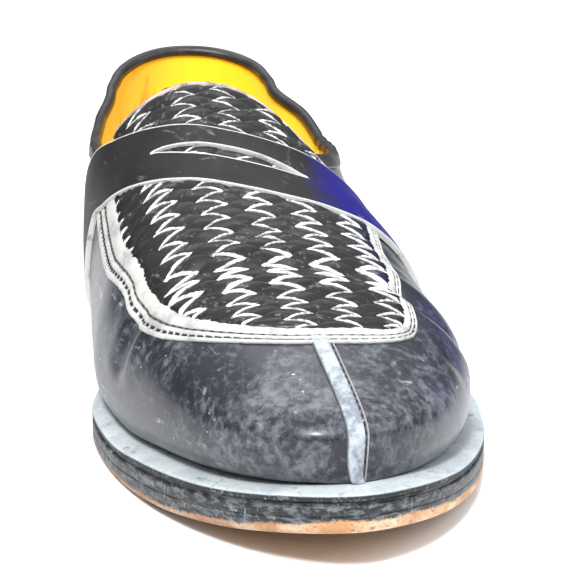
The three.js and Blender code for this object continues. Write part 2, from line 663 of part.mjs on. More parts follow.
// The origin is the centre of the shoe's box on the ground
const model = new THREE.Group();
model.add(...pieces);
const box = new THREE.Box3().setFromObject(model);
const centre = box.getCenter(new THREE.Vector3());
pieces.forEach((piece) => piece.position.set(-centre.x, -centre.y, -box.min.z));

export default model;
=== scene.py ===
"""Dressing of a worn woven penny loafer, left shoe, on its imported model.

Shapes are worked out in the shoemaker's own frame, in millimetres: x across with the lateral side
positive, s along from the back of the heel to the toe, z up from the ground. A mesh turns them into
metres in the model's frame. The tables of the last and of the sole are those of the solid model.
"""

from __future__ import annotations

import logging
import math
from collections.abc import Callable
from dataclasses import dataclass
from enum import Enum

import bmesh
import bpy
import numpy as np
from mathutils import Matrix, Vector


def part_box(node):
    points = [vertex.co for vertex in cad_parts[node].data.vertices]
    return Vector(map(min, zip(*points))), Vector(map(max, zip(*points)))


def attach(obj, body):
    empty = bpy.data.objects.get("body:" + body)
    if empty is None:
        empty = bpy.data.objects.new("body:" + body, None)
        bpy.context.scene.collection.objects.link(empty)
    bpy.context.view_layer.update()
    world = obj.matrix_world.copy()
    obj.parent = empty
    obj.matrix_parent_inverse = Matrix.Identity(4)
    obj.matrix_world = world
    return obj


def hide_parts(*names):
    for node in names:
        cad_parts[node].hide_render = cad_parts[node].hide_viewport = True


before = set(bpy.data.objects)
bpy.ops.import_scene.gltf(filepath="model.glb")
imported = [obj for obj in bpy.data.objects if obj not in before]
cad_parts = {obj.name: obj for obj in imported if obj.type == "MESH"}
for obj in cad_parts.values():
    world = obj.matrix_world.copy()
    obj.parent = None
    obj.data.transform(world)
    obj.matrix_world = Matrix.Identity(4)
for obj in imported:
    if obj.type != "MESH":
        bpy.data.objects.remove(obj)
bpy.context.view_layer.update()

log = logging.getLogger("loafer")

Array = np.ndarray
Material = bpy.types.Material
Thing = bpy.types.Object
Colour = tuple[float, float, float]
Curve = Callable[[Array], Array]

MM = 0.001
LENGTH = 300.0
BODY = "root"
PHOTO_SIZE = 580.0
STEP = 0.01
HALVINGS = 36


class Facing(Enum):
    """Which way the faces of a patch look."""

    OUT = "away from the core of the shoe"
    IN = "toward the core of the shoe"
    CLOSED = "outward from the closed form itself"


def ease(value: Array, low: float, high: float) -> Array:
    """Smooth step from 0 at low to 1 at high: 3t^2 - 2t^3 of the clamped share t.

    Args:
        value: The numbers to judge.
        low: Where the step starts.
        high: Where it ends.

    Returns:
        Numbers from 0 to 1.
    """
    share = np.clip((value - low) / (high - low), 0.0, 1.0)
    return share * share * (3.0 - 2.0 * share)


def bump(value: Array, width: float) -> Array:
    """Bell of height 1 at 0: exp(-(value / width)^2)."""
    return np.exp(-np.square(value / width))


def unit(vectors: Array) -> Array:
    """The same directions with a length of 1."""
    return vectors / np.linalg.norm(vectors, axis=-1, keepdims=True)


def bisect(low: Array, high: Array, past: Curve) -> tuple[Array, Array]:
    """Narrows spans by halves around the places where a test begins to hold.

    Args:
        low: Places where it doesn't hold.
        high: Places where it holds.
        past: The test.

    Returns:
        Low and high, drawn close together.
    """
    for _ in range(HALVINGS):
        middle = (low + high) / 2
        beyond = past(middle)
        low, high = np.where(beyond, low, middle), np.where(beyond, middle, high)
    return low, high


def grid_faces(rows: int, columns: int) -> Array:
    """Corner indices of the quads of a grid whose points are numbered row by row."""
    index = np.arange(rows * columns).reshape(rows, columns)
    corners = [index[:-1, :-1], index[1:, :-1], index[1:, 1:], index[:-1, 1:]]
    return np.stack(corners, axis=-1).reshape(-1, 4)


@dataclass(frozen=True)
class Rows:
    """A short table read as a monotone cubic through its rows.

    Attributes:
        at: Positions of the rows, rising.
        value: Value at each row.
        level_ends: Whether the curve leaves both ends level.
    """

    at: tuple[float, ...]
    value: tuple[float, ...]
    level_ends: bool = False

    def __call__(self, place: Array | float) -> Array:
        """Hermite cubic whose slope at a row is the harmonic mean of the chords beside it.

        Args:
            place: Positions to read, held inside the table.

        Returns:
            The values there.
        """
        at, value = np.array(self.at), np.array(self.value)
        chord = np.diff(value) / np.diff(at)
        slope = np.zeros(len(at))
        before, after = chord[:-1], chord[1:]
        same = before * after > 0
        slope[1:-1] = np.where(same, 2 * before * after / np.where(same, before + after, 1.0), 0.0)
        if not self.level_ends:
            slope[0], slope[-1] = chord[0], chord[-1]
        p = np.clip(place, at[0], at[-1])
        i = np.clip(np.searchsorted(at, p, side="left") - 1, 0, len(at) - 2)
        span = at[i + 1] - at[i]
        t = (p - at[i]) / span
        start = (2 * t**3 - 3 * t**2 + 1) * value[i] + (t**3 - 2 * t**2 + t) * span * slope[i]
        end = (3 * t**2 - 2 * t**3) * value[i + 1] + (t**3 - t**2) * span * slope[i + 1]
        return start + end


@dataclass(frozen=True)
class PlanShape:
    """A plan outline: an axis, half widths along the sides and superellipse ends.

    A place around it is w: 0 at the back of the heel, 1 where the side starts, 2 where the toe
    starts and 3 at the tip; the medial side has the same places below zero.
    """

    lateral: Rows
    medial: Rows
    axis: Rows
    heel_start: float
    toe_start: float
    back: float
    tip: float
    toe_power: tuple[float, float]
    heel_power: float

    def half(self, side: Array, s: Array) -> Array:
        """Half width on the side with this sign of x."""
        return np.where(side > 0, self.lateral(s), self.medial(s))

    def point(self, w: Array, grow: float = 0.0, rho: Array | float = 1.0) -> tuple[Array, Array]:
        """Plan point at a place, grown outward and drawn toward the axis by the share rho.

        On a side x is axis plus side times rho times the half width. On an end both x and s follow
        a superellipse: the sine or cosine of the angle to the power two over the end's power.

        Args:
            w: Places around the outline.
            grow: How far the outline is grown.
            rho: Share of the way from the axis to the outline.

        Returns:
            x and s.
        """
        w = (np.asarray(w, float) + 3.0) % 6.0 - 3.0
        side = np.where(w >= 0, 1.0, -1.0)
        u = np.abs(w)
        toe, heel = u > 2.0, u < 1.0
        angle = np.where(toe, u - 2.0, u) * math.pi / 2
        power = np.where(toe, np.where(side > 0, *self.toe_power), self.heel_power)
        start = np.where(toe, self.toe_start, self.heel_start)
        reach = np.where(toe, self.tip - self.toe_start + grow, self.back - self.heel_start - grow)
        along = np.where(toe, np.sin(angle), np.cos(angle)).clip(0.0)
        out = np.where(toe, np.cos(angle), np.sin(angle)).clip(0.0)
        s_end = start + reach * rho * along ** (2 / power)
        width_end = (self.half(side, start) + grow) * rho * out ** (2 / power)
        s_side = self.heel_start + (self.toe_start - self.heel_start) * (u - 1.0)
        width_side = rho * (self.half(side, s_side) + grow)
        ends = toe | heel
        s = np.where(ends, s_end, s_side + 0.0 * rho)
        return self.axis(s) + side * np.where(ends, width_end, width_side), s


@dataclass(frozen=True)
class Fold:
    """A soft trough or ridge that walking has pressed into the leather.

    Its middle runs where s = start + lean_x * x + lean_z * (z - 50); it raises the surface by
    depth times a bell across it, inside a window of heights and a window across the shoe.
    """

    start: float
    depth: float
    width: float
    lean_x: float = 0.0
    lean_z: float = 0.0
    low: float = 0.0
    high: float = 200.0
    from_x: float = -100.0
    to_x: float = 100.0
    fade: float = 8.0

    def lift(self, points: Array) -> Array:
        """How far it raises each point: depth * bell(offset) * windows."""
        x, s, z = points[..., 0], points[..., 1], points[..., 2]
        offset = s - self.start - self.lean_x * x - self.lean_z * (z - 50.0)
        heights = ease(z, self.low - self.fade, self.low) * (1 - ease(z, self.high, self.high + self.fade))
        across = ease(x, self.from_x - self.fade, self.from_x)
        across = across * (1 - ease(x, self.to_x, self.to_x + self.fade))
        return self.depth * bump(offset, self.width) * heights * across


FOLDS = (
    Fold(221.5, -1.35, 4.0, lean_x=0.13, low=34),
    Fold(212.5, 0.75, 5.0, lean_x=0.1, low=34),
    Fold(230.0, 0.7, 5.0, lean_x=0.16, low=34),
    Fold(240.5, -0.5, 3.5, lean_x=0.22, low=36, from_x=-30),
    Fold(201.5, -0.5, 4.0, lean_x=-0.1, low=36, to_x=10),
    Fold(190.0, -0.45, 4.5, lean_x=0.25, low=36, from_x=5),
    Fold(84.0, -0.5, 2.2, lean_z=-0.25, low=44, high=66, from_x=20),
    Fold(90.5, -0.9, 2.0, lean_z=-0.2, low=40, high=66, from_x=20),
    Fold(97.0, -1.0, 1.9, lean_z=-0.12, low=38, high=66, from_x=20),
    Fold(103.5, -0.9, 2.0, lean_z=-0.08, low=36, high=66, from_x=20),
    Fold(110.0, -0.6, 2.2, low=36, high=64, from_x=20),
    Fold(92.0, -0.6, 2.6, lean_z=-0.15, low=42, high=68, to_x=-20),
    Fold(101.0, -0.7, 2.4, lean_z=-0.1, low=40, high=68, to_x=-20),
    Fold(14.0, -0.35, 4.0, lean_z=0.5, low=60, high=82),
)


SOLE_AT = (38, 70, 100, 130, 160, 192)
WALL_AT = (38, 60, 80, 100, 120, 150, 175, 195)
BODY_AT = (0, 35, 66, 90, 120, 145, 165, 215, 240, 270, 300)
DOME_AT = (0, 80, 120, 150, 200, 260)
SHELF_AT = (0, 60, 120, 160, 200, 240, 270, 300)


@dataclass(frozen=True)
class Last:
    """The closed form of the shoe, from which every layer of it is worked out.

    Heights come as tables along the shoe: the sole's underside, the feather line where the wall
    meets the welt, the widest line above that, and the crest. The powers across, up and lean
    shape the dome and the lower wall. The steps are those of the differences for the normals.
    """

    sole: PlanShape = PlanShape(
        lateral=Rows(SOLE_AT, (35, 36.5, 40.5, 47.5, 56.3, 63.5), True),
        medial=Rows(SOLE_AT, (33.5, 31.5, 31, 35.5, 44, 50.8), True),
        axis=Rows((0, 110, 190, 300), (-0.5, -3.0, -3.5, 1.0)),
        heel_start=38, toe_start=192, back=0, tip=300, toe_power=(1.62, 1.85), heel_power=2.15,
    )
    upper: PlanShape = PlanShape(
        lateral=Rows(WALL_AT, (34, 43, 48, 51.8, 54.8, 58.8, 62.3, 61.7), True),
        medial=Rows(WALL_AT, (28.5, 32, 32.6, 32.5, 34, 36.7, 39, 40.6), True),
        axis=Rows((0, 60, 120, 180, 240, 300), (0.5, -6, -13.5, -13, -7, -2.5)),
        heel_start=38, toe_start=195, back=2.5, tip=293.5, toe_power=(1.82, 2.15), heel_power=2.15,
    )
    under: Rows = Rows(BODY_AT, (25.5, 25, 22, 14.5, 6.2, 1.2, 0, 0, 1.2, 5.4, 12.2))
    feather: Rows = Rows(BODY_AT, (35, 34, 30.2, 24.5, 17.8, 13.6, 12.1, 12, 14.4, 18, 24.3))
    widest: Rows = Rows(BODY_AT, (18, 27, 36, 36, 22, 16, 14, 12, 11.6, 11, 11))
    crest: Rows = Rows(BODY_AT, (150, 142, 130, 114, 96, 84.5, 77, 62.3, 57.5, 53.2, 50))
    across: Rows = Rows(DOME_AT, (2, 2, 1.9, 2, 2.3, 2.5))
    up: Rows = Rows(DOME_AT, (1.3, 2.5, 2, 1.9, 1.9, 2))
    lean: Rows = Rows(DOME_AT, (1, 1.05, 1.3, 1.5, 1.7, 1.7))
    shelf_lateral: Rows = Rows(SHELF_AT, (2.2, 2.6, 4.5, 7, 8.8, 9.8, 9, 7.2))
    shelf_medial: Rows = Rows(SHELF_AT, (2.2, 2.6, 4.2, 5.5, 6.5, 9.2, 9.8, 7.2))
    seat_gap: float = 0.3
    core_height: float = 38.0
    core_span: tuple[float, float] = (45.0, 200.0)
    held: tuple[float, float] = (0.004, 1.994)
    step_w: float = 0.004
    step_q: float = 0.003
    step_plan: float = 0.2

    def shelf(self, w: Array) -> Array:
        """Width of the welt outside the wall at a place, from its side's table."""
        s = self.sole.point(w)[1]
        lateral = (np.asarray(w) + 3.0) % 6.0 >= 3.0
        return np.where(lateral, self.shelf_lateral(s), self.shelf_medial(s))

    def rim(self, w: Array, inset: Array | float) -> tuple[Array, Array]:
        """Outline of the sole drawn in along its plan normal.

        The normal is the direction between the outline's points just behind and just ahead of the
        place, turned a quarter turn.

        Args:
            w: Places around the outline.
            inset: How far it is drawn in.

        Returns:
            x and s.
        """
        x, s = self.sole.point(w)
        x0, s0 = self.sole.point(w - STEP)
        x1, s1 = self.sole.point(w + STEP)
        length = np.hypot(x1 - x0, s1 - s0)
        return x - (s1 - s0) / length * inset, s + (x1 - x0) / length * inset

    def top(self, s: Array, rho: Array, grow: float = 0.0) -> Array:
        """Height above the widest line: low + (crest - low) * (1 - rho^across)^(1 / up)."""
        low = self.feather(s) + self.seat_gap + self.widest(s)
        return low + (self.crest(s) + grow - low) * (1 - rho ** self.across(s)) ** (1 / self.up(s))

    def closing(self, q: Array) -> Array:
        """Plan share of the dome at a share q of the way up: a cosine to the power 0.9."""
        return np.cos((np.clip(q, 1.0, 2.0) - 1) * math.pi / 2).clip(0.0) ** 0.9

    def height(self, x: Array, s: Array) -> Array:
        """Height of the form over a plan point; rho is the superellipse radius of that point.

        Args:
            x: Across the shoe.
            s: Along it.

        Returns:
            z.
        """
        shape = self.upper
        side = np.where(x >= shape.axis(s), 1.0, -1.0)
        held = np.clip(s, shape.heel_start, shape.toe_start)
        across = np.abs(x - shape.axis(s)) / shape.half(side, held)
        along = np.maximum(s - shape.toe_start, 0) / (shape.tip - shape.toe_start)
        power = np.where(side > 0, *shape.toe_power)
        rho = np.where(along > 0, (across**power + along**power) ** (1 / power), across)
        return self.top(s, np.minimum(rho, 0.999))

    def skin(self, w: Array, q: Array) -> Array:
        """Point of the form at a place around and a share q of the way up.

        For q from 0 to 1 the wall leaves the feather line and leans out to the widest line, its
        plan share being 1 - (1 - q)^2; from 1 to 2 it closes over to the ridge, rho being the
        cosine of the share to the power 0.9.

        Args:
            w: Places around.
            q: Shares of the way up, from 0 to 2.

        Returns:
            Points x, s, z.
        """
        w, q = np.broadcast_arrays(np.asarray(w, float), np.asarray(q, float))
        foot_x, foot_s = self.rim(w, self.shelf(w))
        wide_x, wide_s = self.upper.point(w)
        v = np.clip(q, 0.0, 1.0)
        out = 1 - (1 - v) ** 2
        low_x, low_s = foot_x + (wide_x - foot_x) * out, foot_s + (wide_s - foot_s) * out
        low_z = self.feather(low_s) + self.seat_gap + self.widest(low_s) * v ** self.lean(low_s)
        rho = self.closing(q)
        top_x, top_s = self.upper.point(w, 0.0, rho)
        low = q < 1
        return np.stack([np.where(low, low_x, top_x), np.where(low, low_s, top_s),
                         np.where(low, low_z, self.top(top_s, rho))], axis=-1)

    def core(self, points: Array) -> Array:
        """The nearest point of the line through the middle of the shoe."""
        s = np.clip(points[..., 1], *self.core_span)
        return np.stack([self.upper.axis(s), s, np.full_like(s, self.core_height)], axis=-1)

    def creased(self, points: Array, normals: Array, offset: Array | float) -> Array:
        """Points moved along their normals by an offset and by every fold of the leather."""
        lift = sum(fold.lift(points) for fold in FOLDS) + offset
        return points + unit(normals) * lift[..., None]

    def wall(self, w: Array, q: Array, offset: Array | float = 0.0) -> Array:
        """Point of a layer of the upper: the skin moved along its outward normal.

        The normal is the cross product of the differences of the skin along w and along q.

        Args:
            w: Places around.
            q: Shares of the way up.
            offset: Distance of the layer outside the skin.

        Returns:
            Points x, s, z.
        """
        w, q = np.broadcast_arrays(np.asarray(w, float), np.asarray(q, float))
        held = np.clip(q, *self.held)
        along = self.skin(w + self.step_w, held) - self.skin(w - self.step_w, held)
        upward = self.skin(w, held + self.step_q) - self.skin(w, held - self.step_q)
        return self.creased(self.skin(w, q), np.cross(along, upward), offset)

    def over(self, x: Array, s: Array, offset: Array | float = 0.0) -> Array:
        """Point of a layer above a plan point, moved along the normal of the height map.

        Args:
            x: Across the shoe.
            s: Along it.
            offset: Distance of the layer outside the form.

        Returns:
            Points x, s, z.
        """
        x, s = np.broadcast_arrays(np.asarray(x, float), np.asarray(s, float))
        z, step = self.height(x, s), self.step_plan
        rise_x = (self.height(x + step, s) - self.height(x - step, s)) / (2 * step)
        rise_s = (self.height(x, s + step) - self.height(x, s - step)) / (2 * step)
        normals = np.stack([-rise_x, -rise_s, np.ones_like(z)], axis=-1)
        return self.creased(np.stack([x, s, z], axis=-1), normals, offset)


LAST = Last()

COLLAR_AT = (0, 12, 35, 60, 85, 106, 128, 148)
SADDLE_AT = (-70, -46, -43, -37, -31, -24, -15, -3, 8, 20, 30, 38, 46, 75)
SLOT_AT = (-29, -20, -9, 2, 13)


@dataclass(frozen=True)
class Pattern:
    """Cutting lines of the upper: collar, saddle, slot, tongue and apron.

    The collar is a height by station. The edges of saddle, slot and tongue are stations by x, the
    sides of the apron are x by station, and its front is two quarter superellipses, the lateral
    one first. Distances are measured to depth_points of the apron's outline.
    """

    collar_lateral: Rows = Rows(COLLAR_AT, (91.5, 87, 79.8, 72.5, 67, 67.5, 71, 75.5))
    collar_medial: Rows = Rows(COLLAR_AT, (91.5, 87, 79.8, 73, 71, 71, 73, 75.5))
    saddle_rear: Rows = Rows(
        SADDLE_AT, (100, 107, 113, 126, 134.5, 141, 145.8, 149.3, 150.5, 149.8, 150.5, 149, 146, 140)
    )
    saddle_front: Rows = Rows(
        SADDLE_AT, (128, 134, 143.5, 156, 165, 171.8, 177, 181.8, 184.5, 185, 182.6, 180, 177, 172)
    )
    slot_rear: Rows = Rows(SLOT_AT, (149.8, 154, 157.5, 161.2, 168))
    slot_front: Rows = Rows(SLOT_AT, (150.8, 158.8, 163.8, 167.3, 169.4))
    slot_span: tuple[float, float] = (-29.0, 13.0)
    tongue_tip: Rows = Rows(
        (-37, -30, -22, -13, -4, 4, 12, 19, 25, 29),
        (120, 122.3, 123.2, 123, 122.8, 124.7, 129.5, 136.5, 144, 150),
    )
    apron_lateral: Rows = Rows((150, 180, 203, 222, 238), (36, 33, 31, 30.5, 30))
    apron_medial: Rows = Rows((128, 150, 180, 203), (-45.0, -46.5, -47.5, -45.0))
    apron_middle: float = -3.0
    apron_tip: float = 260.0
    apron_power: tuple[float, float] = (2.3, 2.0)
    apron_half: tuple[float, float] = (33.0, 42.0)
    band_loss: float = 0.35
    band_span: tuple[float, float] = (8.0, 26.0)
    depth_points: int = 260
    depth_part: int = 20000

    def collar(self, x: Array, s: Array) -> Array:
        """Height of the top edge on the side where x lies."""
        return np.where(x >= LAST.upper.axis(s), self.collar_lateral(s), self.collar_medial(s))

    def narrowing(self, x: Array) -> Array:
        """Share of its full width that the seam band keeps, less on the lateral side."""
        return 1.0 - self.band_loss * ease(x, *self.band_span)

    def outline(self, count: int) -> Array:
        """Outline of the apron from its lateral rear end round the toe to its medial rear end.

        The sides follow their tables and the front is a quarter superellipse on each side.

        Args:
            count: How many points, evenly spaced.

        Returns:
            Points x, s.
        """
        lateral_s = np.linspace(self.apron_lateral.at[0], self.apron_lateral.at[-1], 60, endpoint=False)
        medial_s = np.linspace(self.apron_medial.at[-1], self.apron_medial.at[0], 56)[1:]
        angle = np.linspace(0, math.pi / 2, 90)
        fronts = []
        corners = ((0, self.apron_lateral.at[-1], angle), (1, self.apron_medial.at[-1], angle[::-1][1:]))
        for side, start, turn in corners:
            power = 2 / self.apron_power[side]
            out = self.apron_half[side] * np.cos(turn).clip(0) ** power
            ahead = (self.apron_tip - start) * np.sin(turn) ** power
            fronts.append((self.apron_middle + (1 - 2 * side) * out, start + ahead))
        sides = ((self.apron_lateral(lateral_s), lateral_s), (self.apron_medial(medial_s), medial_s))
        line = np.concatenate([sides[0], *fronts, sides[1]], axis=1).T
        return even(line, count)

    def depth(self, x: Array, s: Array) -> Array:
        """Distance inside the apron's outline, below zero outside it.

        It is the distance to the nearest of the outline's points, signed by the side of the
        outline's direction on which the point lies.

        Args:
            x: Across the shoe.
            s: Along it.

        Returns:
            Distances.
        """
        line = self.outline(self.depth_points)
        inward = plan_inward(line)
        flat = np.stack([np.ravel(x), np.ravel(s)], axis=-1)
        found = np.empty(len(flat))
        for part in np.array_split(np.arange(len(flat)), max(1, len(flat) // self.depth_part)):
            gap = flat[part, None, :] - line[None, :, :]
            nearest = np.argmin(np.sum(gap**2, axis=-1), axis=1)
            found[part] = np.sum(gap[np.arange(len(part)), nearest] * inward[nearest], axis=-1)
        return found.reshape(np.shape(x))


def even(line: Array, count: int) -> Array:
    """The same line with evenly spaced points.

    Args:
        line: Points in order, one a row.
        count: How many points to give.

    Returns:
        Points one a row.
    """
    run = runs(line, 0)
    stops = np.linspace(0, run[-1], count)
    return np.stack([np.interp(stops, run, column) for column in line.T], axis=-1)


def plan_inward(line: Array) -> Array:
    """Unit normals in plan of a line that runs with the shoe's lateral side on its right."""
    along = unit(np.gradient(line, axis=0))
    return np.stack([-along[:, 1], along[:, 0]], axis=-1)


def runs(points: Array, axis: int) -> Array:
    """Length run along one axis of a grid of points."""
    step = np.linalg.norm(np.diff(points, axis=axis), axis=-1)
    total = np.cumsum(step, axis=axis)
    pad = [(0, 0)] * total.ndim
    pad[axis] = (1, 0)
    return np.pad(total, pad)


PATTERN = Pattern()


@dataclass
class Patch:
    """A grid of points with two measures of its own, in millimetres, for its finish to read.

    Attributes:
        points: Rows by columns by x, s, z.
        measures: Rows by columns by two, or nothing for the lengths run along both axes.
        facing: Which way its faces look.
        finish: Index of its finish on the piece.
    """

    points: Array
    measures: Array | None = None
    facing: Facing = Facing.OUT
    finish: int = 0

    def measured(self) -> Array:
        """Its measures, or the lengths run along both axes of the grid."""
        if self.measures is not None:
            return self.measures
        return np.stack([runs(self.points, 1), runs(self.points, 0)], axis=-1)


def pair(first: Array | float, second: Array | float, shape: tuple[int, ...]) -> Array:
    """Two measures side by side, each spread over a grid's rows and columns."""
    return np.stack([np.broadcast_to(first, shape[:2]), np.broadcast_to(second, shape[:2])], axis=-1)


def link(name: str, data: bpy.types.ID) -> Thing:
    """An object of the scene with this name and data."""
    thing = bpy.data.objects.new(name, data)
    bpy.context.scene.collection.objects.link(thing)
    return thing


class Workshop:
    """Turns patches into finished pieces of the shoe in the model's frame."""

    merge_distance = 2e-6

    def __init__(self) -> None:
        """Reads the shoe's place across the model from the box of its outsole."""
        low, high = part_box("outsole")
        sole, widest = LAST.sole, LAST.sole.toe_start
        own = sole.axis(widest) + (sole.lateral(widest) - sole.medial(widest)) / 2
        self.shift = (low[0] + high[0]) / 2 / MM - float(own)

    def place(self, points: Array) -> Array:
        """Own millimetres to metres of the model: x + shift, half length - s, z."""
        moved = np.stack([points[..., 0] + self.shift, LENGTH / 2 - points[..., 1], points[..., 2]], axis=-1)
        return moved * MM

    def quads(self, patch: Patch) -> Array:
        """Corner indices of a patch's faces, wound so that they face as they should.

        A sheet is judged by the mean of its face normals against the direction from the core. A
        closed form is judged by the sign of its volume about its own middle.

        Args:
            patch: The patch.

        Returns:
            Faces by four indices, the patch's first point being 0.
        """
        faces = grid_faces(*patch.points.shape[:2])
        places = self.place(patch.points).reshape(-1, 3)
        corners = places[faces]
        normals = np.cross(corners[:, 2] - corners[:, 0], corners[:, 3] - corners[:, 1])
        if patch.facing is Facing.CLOSED:
            centre = places.mean(axis=0)
        else:
            centre = self.place(LAST.core(patch.points)).reshape(-1, 3)[faces].mean(axis=1)
        outward = np.sum(normals * (corners.mean(axis=1) - centre)) > 0
        return faces[:, ::-1] if outward == (patch.facing is Facing.IN) else faces

    def piece(
        self, name: str, patches: list[Patch], finishes: list[Material], slot: str, replaces: str = ""
    ) -> Thing:
        """Builds one object from patches, merges their shared edges and puts it on the shoe.

        Args:
            name: Name of the piece.
            patches: Its grids.
            finishes: Its materials, in the order of the patches' finish numbers.
            slot: Name of a material slot; not used.
            replaces: CAD node that it stands for, if any.

        Returns:
            The object.
        """
        first, vertices, faces, measures, slots = 0, [], [], [], []
        for patch in patches:
            quads = self.quads(patch)
            vertices.append(self.place(patch.points).reshape(-1, 3))
            faces.append(quads + first)
            measures.append(patch.measured().reshape(-1, 2)[quads.reshape(-1)])
            slots.append(np.full(len(quads), patch.finish))
            first += len(vertices[-1])
        mesh = bpy.data.meshes.new(name)
        corners = np.concatenate(faces)
        mesh.vertices.add(first)
        mesh.vertices.foreach_set("co", np.concatenate(vertices).ravel().astype(np.float32))
        mesh.loops.add(corners.size)
        mesh.loops.foreach_set("vertex_index", corners.ravel().astype(np.int32))
        mesh.polygons.add(len(corners))
        mesh.polygons.foreach_set("loop_start", np.arange(0, corners.size, 4, dtype=np.int32))
        mesh.polygons.foreach_set("material_index", np.concatenate(slots).astype(np.int32))
        mesh.update(calc_edges=True)
        layer = mesh.uv_layers.new(name="measure")
        layer.data.foreach_set("uv", np.concatenate(measures).ravel().astype(np.float32))
        for finish in finishes:
            mesh.materials.append(finish)
        work = bmesh.new()
        work.from_mesh(mesh)
        bmesh.ops.remove_doubles(work, verts=work.verts, dist=self.merge_distance)
        work.to_mesh(mesh)
        work.free()
        mesh.polygons.foreach_set("use_smooth", np.ones(len(mesh.polygons), dtype=bool))
        thing = link(name, mesh)
        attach(thing, BODY)
        if replaces:
            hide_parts(replaces)
        log.info("%s: %d faces", name, len(mesh.polygons))
        return thing

    def solid(
        self, name: str, patches: list[Patch], finishes: list[Material], slot: str, node: str, sharp: float
    ) -> Thing:
        """Builds a closed form whose patches meet, its normals made to agree and look outward.

        Args:
            name: Name of the piece.
            patches: Its grids.
            finishes: Its materials.
            slot: Name of a material slot.
            node: CAD node that it stands for.
            sharp: Angle in degrees above which an edge stays sharp.

        Returns:
            The piece.
        """
        piece = self.piece(name, patches, finishes, slot, node)
        work = bmesh.new()
        work.from_mesh(piece.data)
        bmesh.ops.recalc_face_normals(work, faces=work.faces)
        work.to_mesh(piece.data)
        work.free()
        piece.data.set_sharp_from_angle(angle=math.radians(sharp))
        return piece

    def loose(self, name: str, grids: Array, finish: Material, slot: str) -> Thing:
        """One piece made of many small closed forms, each of its own grid."""
        return self.piece(name, [Patch(grid, facing=Facing.CLOSED) for grid in grids], [finish], slot)


def _operator(operation: str, swapped: bool = False) -> Callable[[Reading, Reading | float], Reading]:
    """A method of a reading that makes a Math node.

    Args:
        operation: What the node does.
        swapped: Whether the other value comes first.

    Returns:
        The method.
    """

    def method(self: Reading, other: Reading | float) -> Reading:
        """The node's result."""
        return self.nodes.maths(operation, *((other, self) if swapped else (self, other)))

    return method


class Reading:
    """A socket of a node that takes part in sums as a number does."""

    def __init__(self, nodes: Nodes, socket: bpy.types.NodeSocket) -> None:
        """Keeps the socket and the nodes that it belongs to."""
        self.nodes = nodes
        self.socket = socket

    __add__ = _operator("ADD")
    __radd__ = _operator("ADD", swapped=True)
    __sub__ = _operator("SUBTRACT")
    __rsub__ = _operator("SUBTRACT", swapped=True)
    __mul__ = _operator("MULTIPLY")
    __rmul__ = _operator("MULTIPLY", swapped=True)


class Nodes:
    """A node tree and the one way of adding nodes to it."""

    def __init__(self, tree: bpy.types.NodeTree, output: str) -> None:
        """Keeps the tree and the node that its readings are fed to."""
        self.tree = tree
        self.target = tree.nodes[output]

    def add(
        self, kind: str, settings: dict[str, object] | None = None, values: dict | None = None
    ) -> bpy.types.Node:
        """Adds any node: its settings first, then the values or links of its sockets.

        Args:
            kind: Node type.
            settings: Properties by name.
            values: Values or readings by socket name or number.

        Returns:
            The node.
        """
        node = self.tree.nodes.new(kind)
        for name, value in (settings or {}).items():
            setattr(node, name, value)
        for name, value in (values or {}).items():
            self.put(node.inputs[name], value)
        return node

    def put(self, socket: bpy.types.NodeSocket, value: object) -> None:
        """Gives a socket a value, or a link where the value is a reading."""
        if isinstance(value, Reading):
            self.tree.links.new(value.socket, socket)
        else:
            socket.default_value = value

    def feed(self, **sockets: object) -> None:
        """Gives sockets of the tree's shader their values, an underscore standing for a space."""
        for name, value in sockets.items():
            self.put(self.target.inputs[name.replace("_", " ")], value)

    def maths(self, operation: str, first: Reading | float, second: Reading | float = 0.0) -> Reading:
        """A Math node's result."""
        node = self.add("ShaderNodeMath", {"operation": operation}, {0: first, 1: second})
        return Reading(self, node.outputs[0])

    def axes(self, kind: str, output: str, settings: dict[str, object] | None = None) -> list[Reading]:
        """The three numbers of the coordinates that a node gives."""
        place = Reading(self, self.add(kind, settings).outputs[output])
        node = self.add("ShaderNodeSeparateXYZ", {}, {"Vector": place})
        return [Reading(self, node.outputs[axis]) for axis in "XYZ"]

    def step(self, value: Reading, low: float, high: float, start: float = 0.0, end: float = 1.0) -> Reading:
        """Smooth step of a reading from start at low to end at high.

        Args:
            value: The reading.
            low: Where the step starts.
            high: Where it ends.
            start: Result before the step.
            end: Result after it.

        Returns:
            The result.
        """
        node = self.add(
            "ShaderNodeMapRange",
            {"interpolation_type": "SMOOTHSTEP"},
            {"Value": value, "From Min": low, "From Max": high, "To Min": start, "To Max": end},
        )
        return Reading(self, node.outputs["Result"])


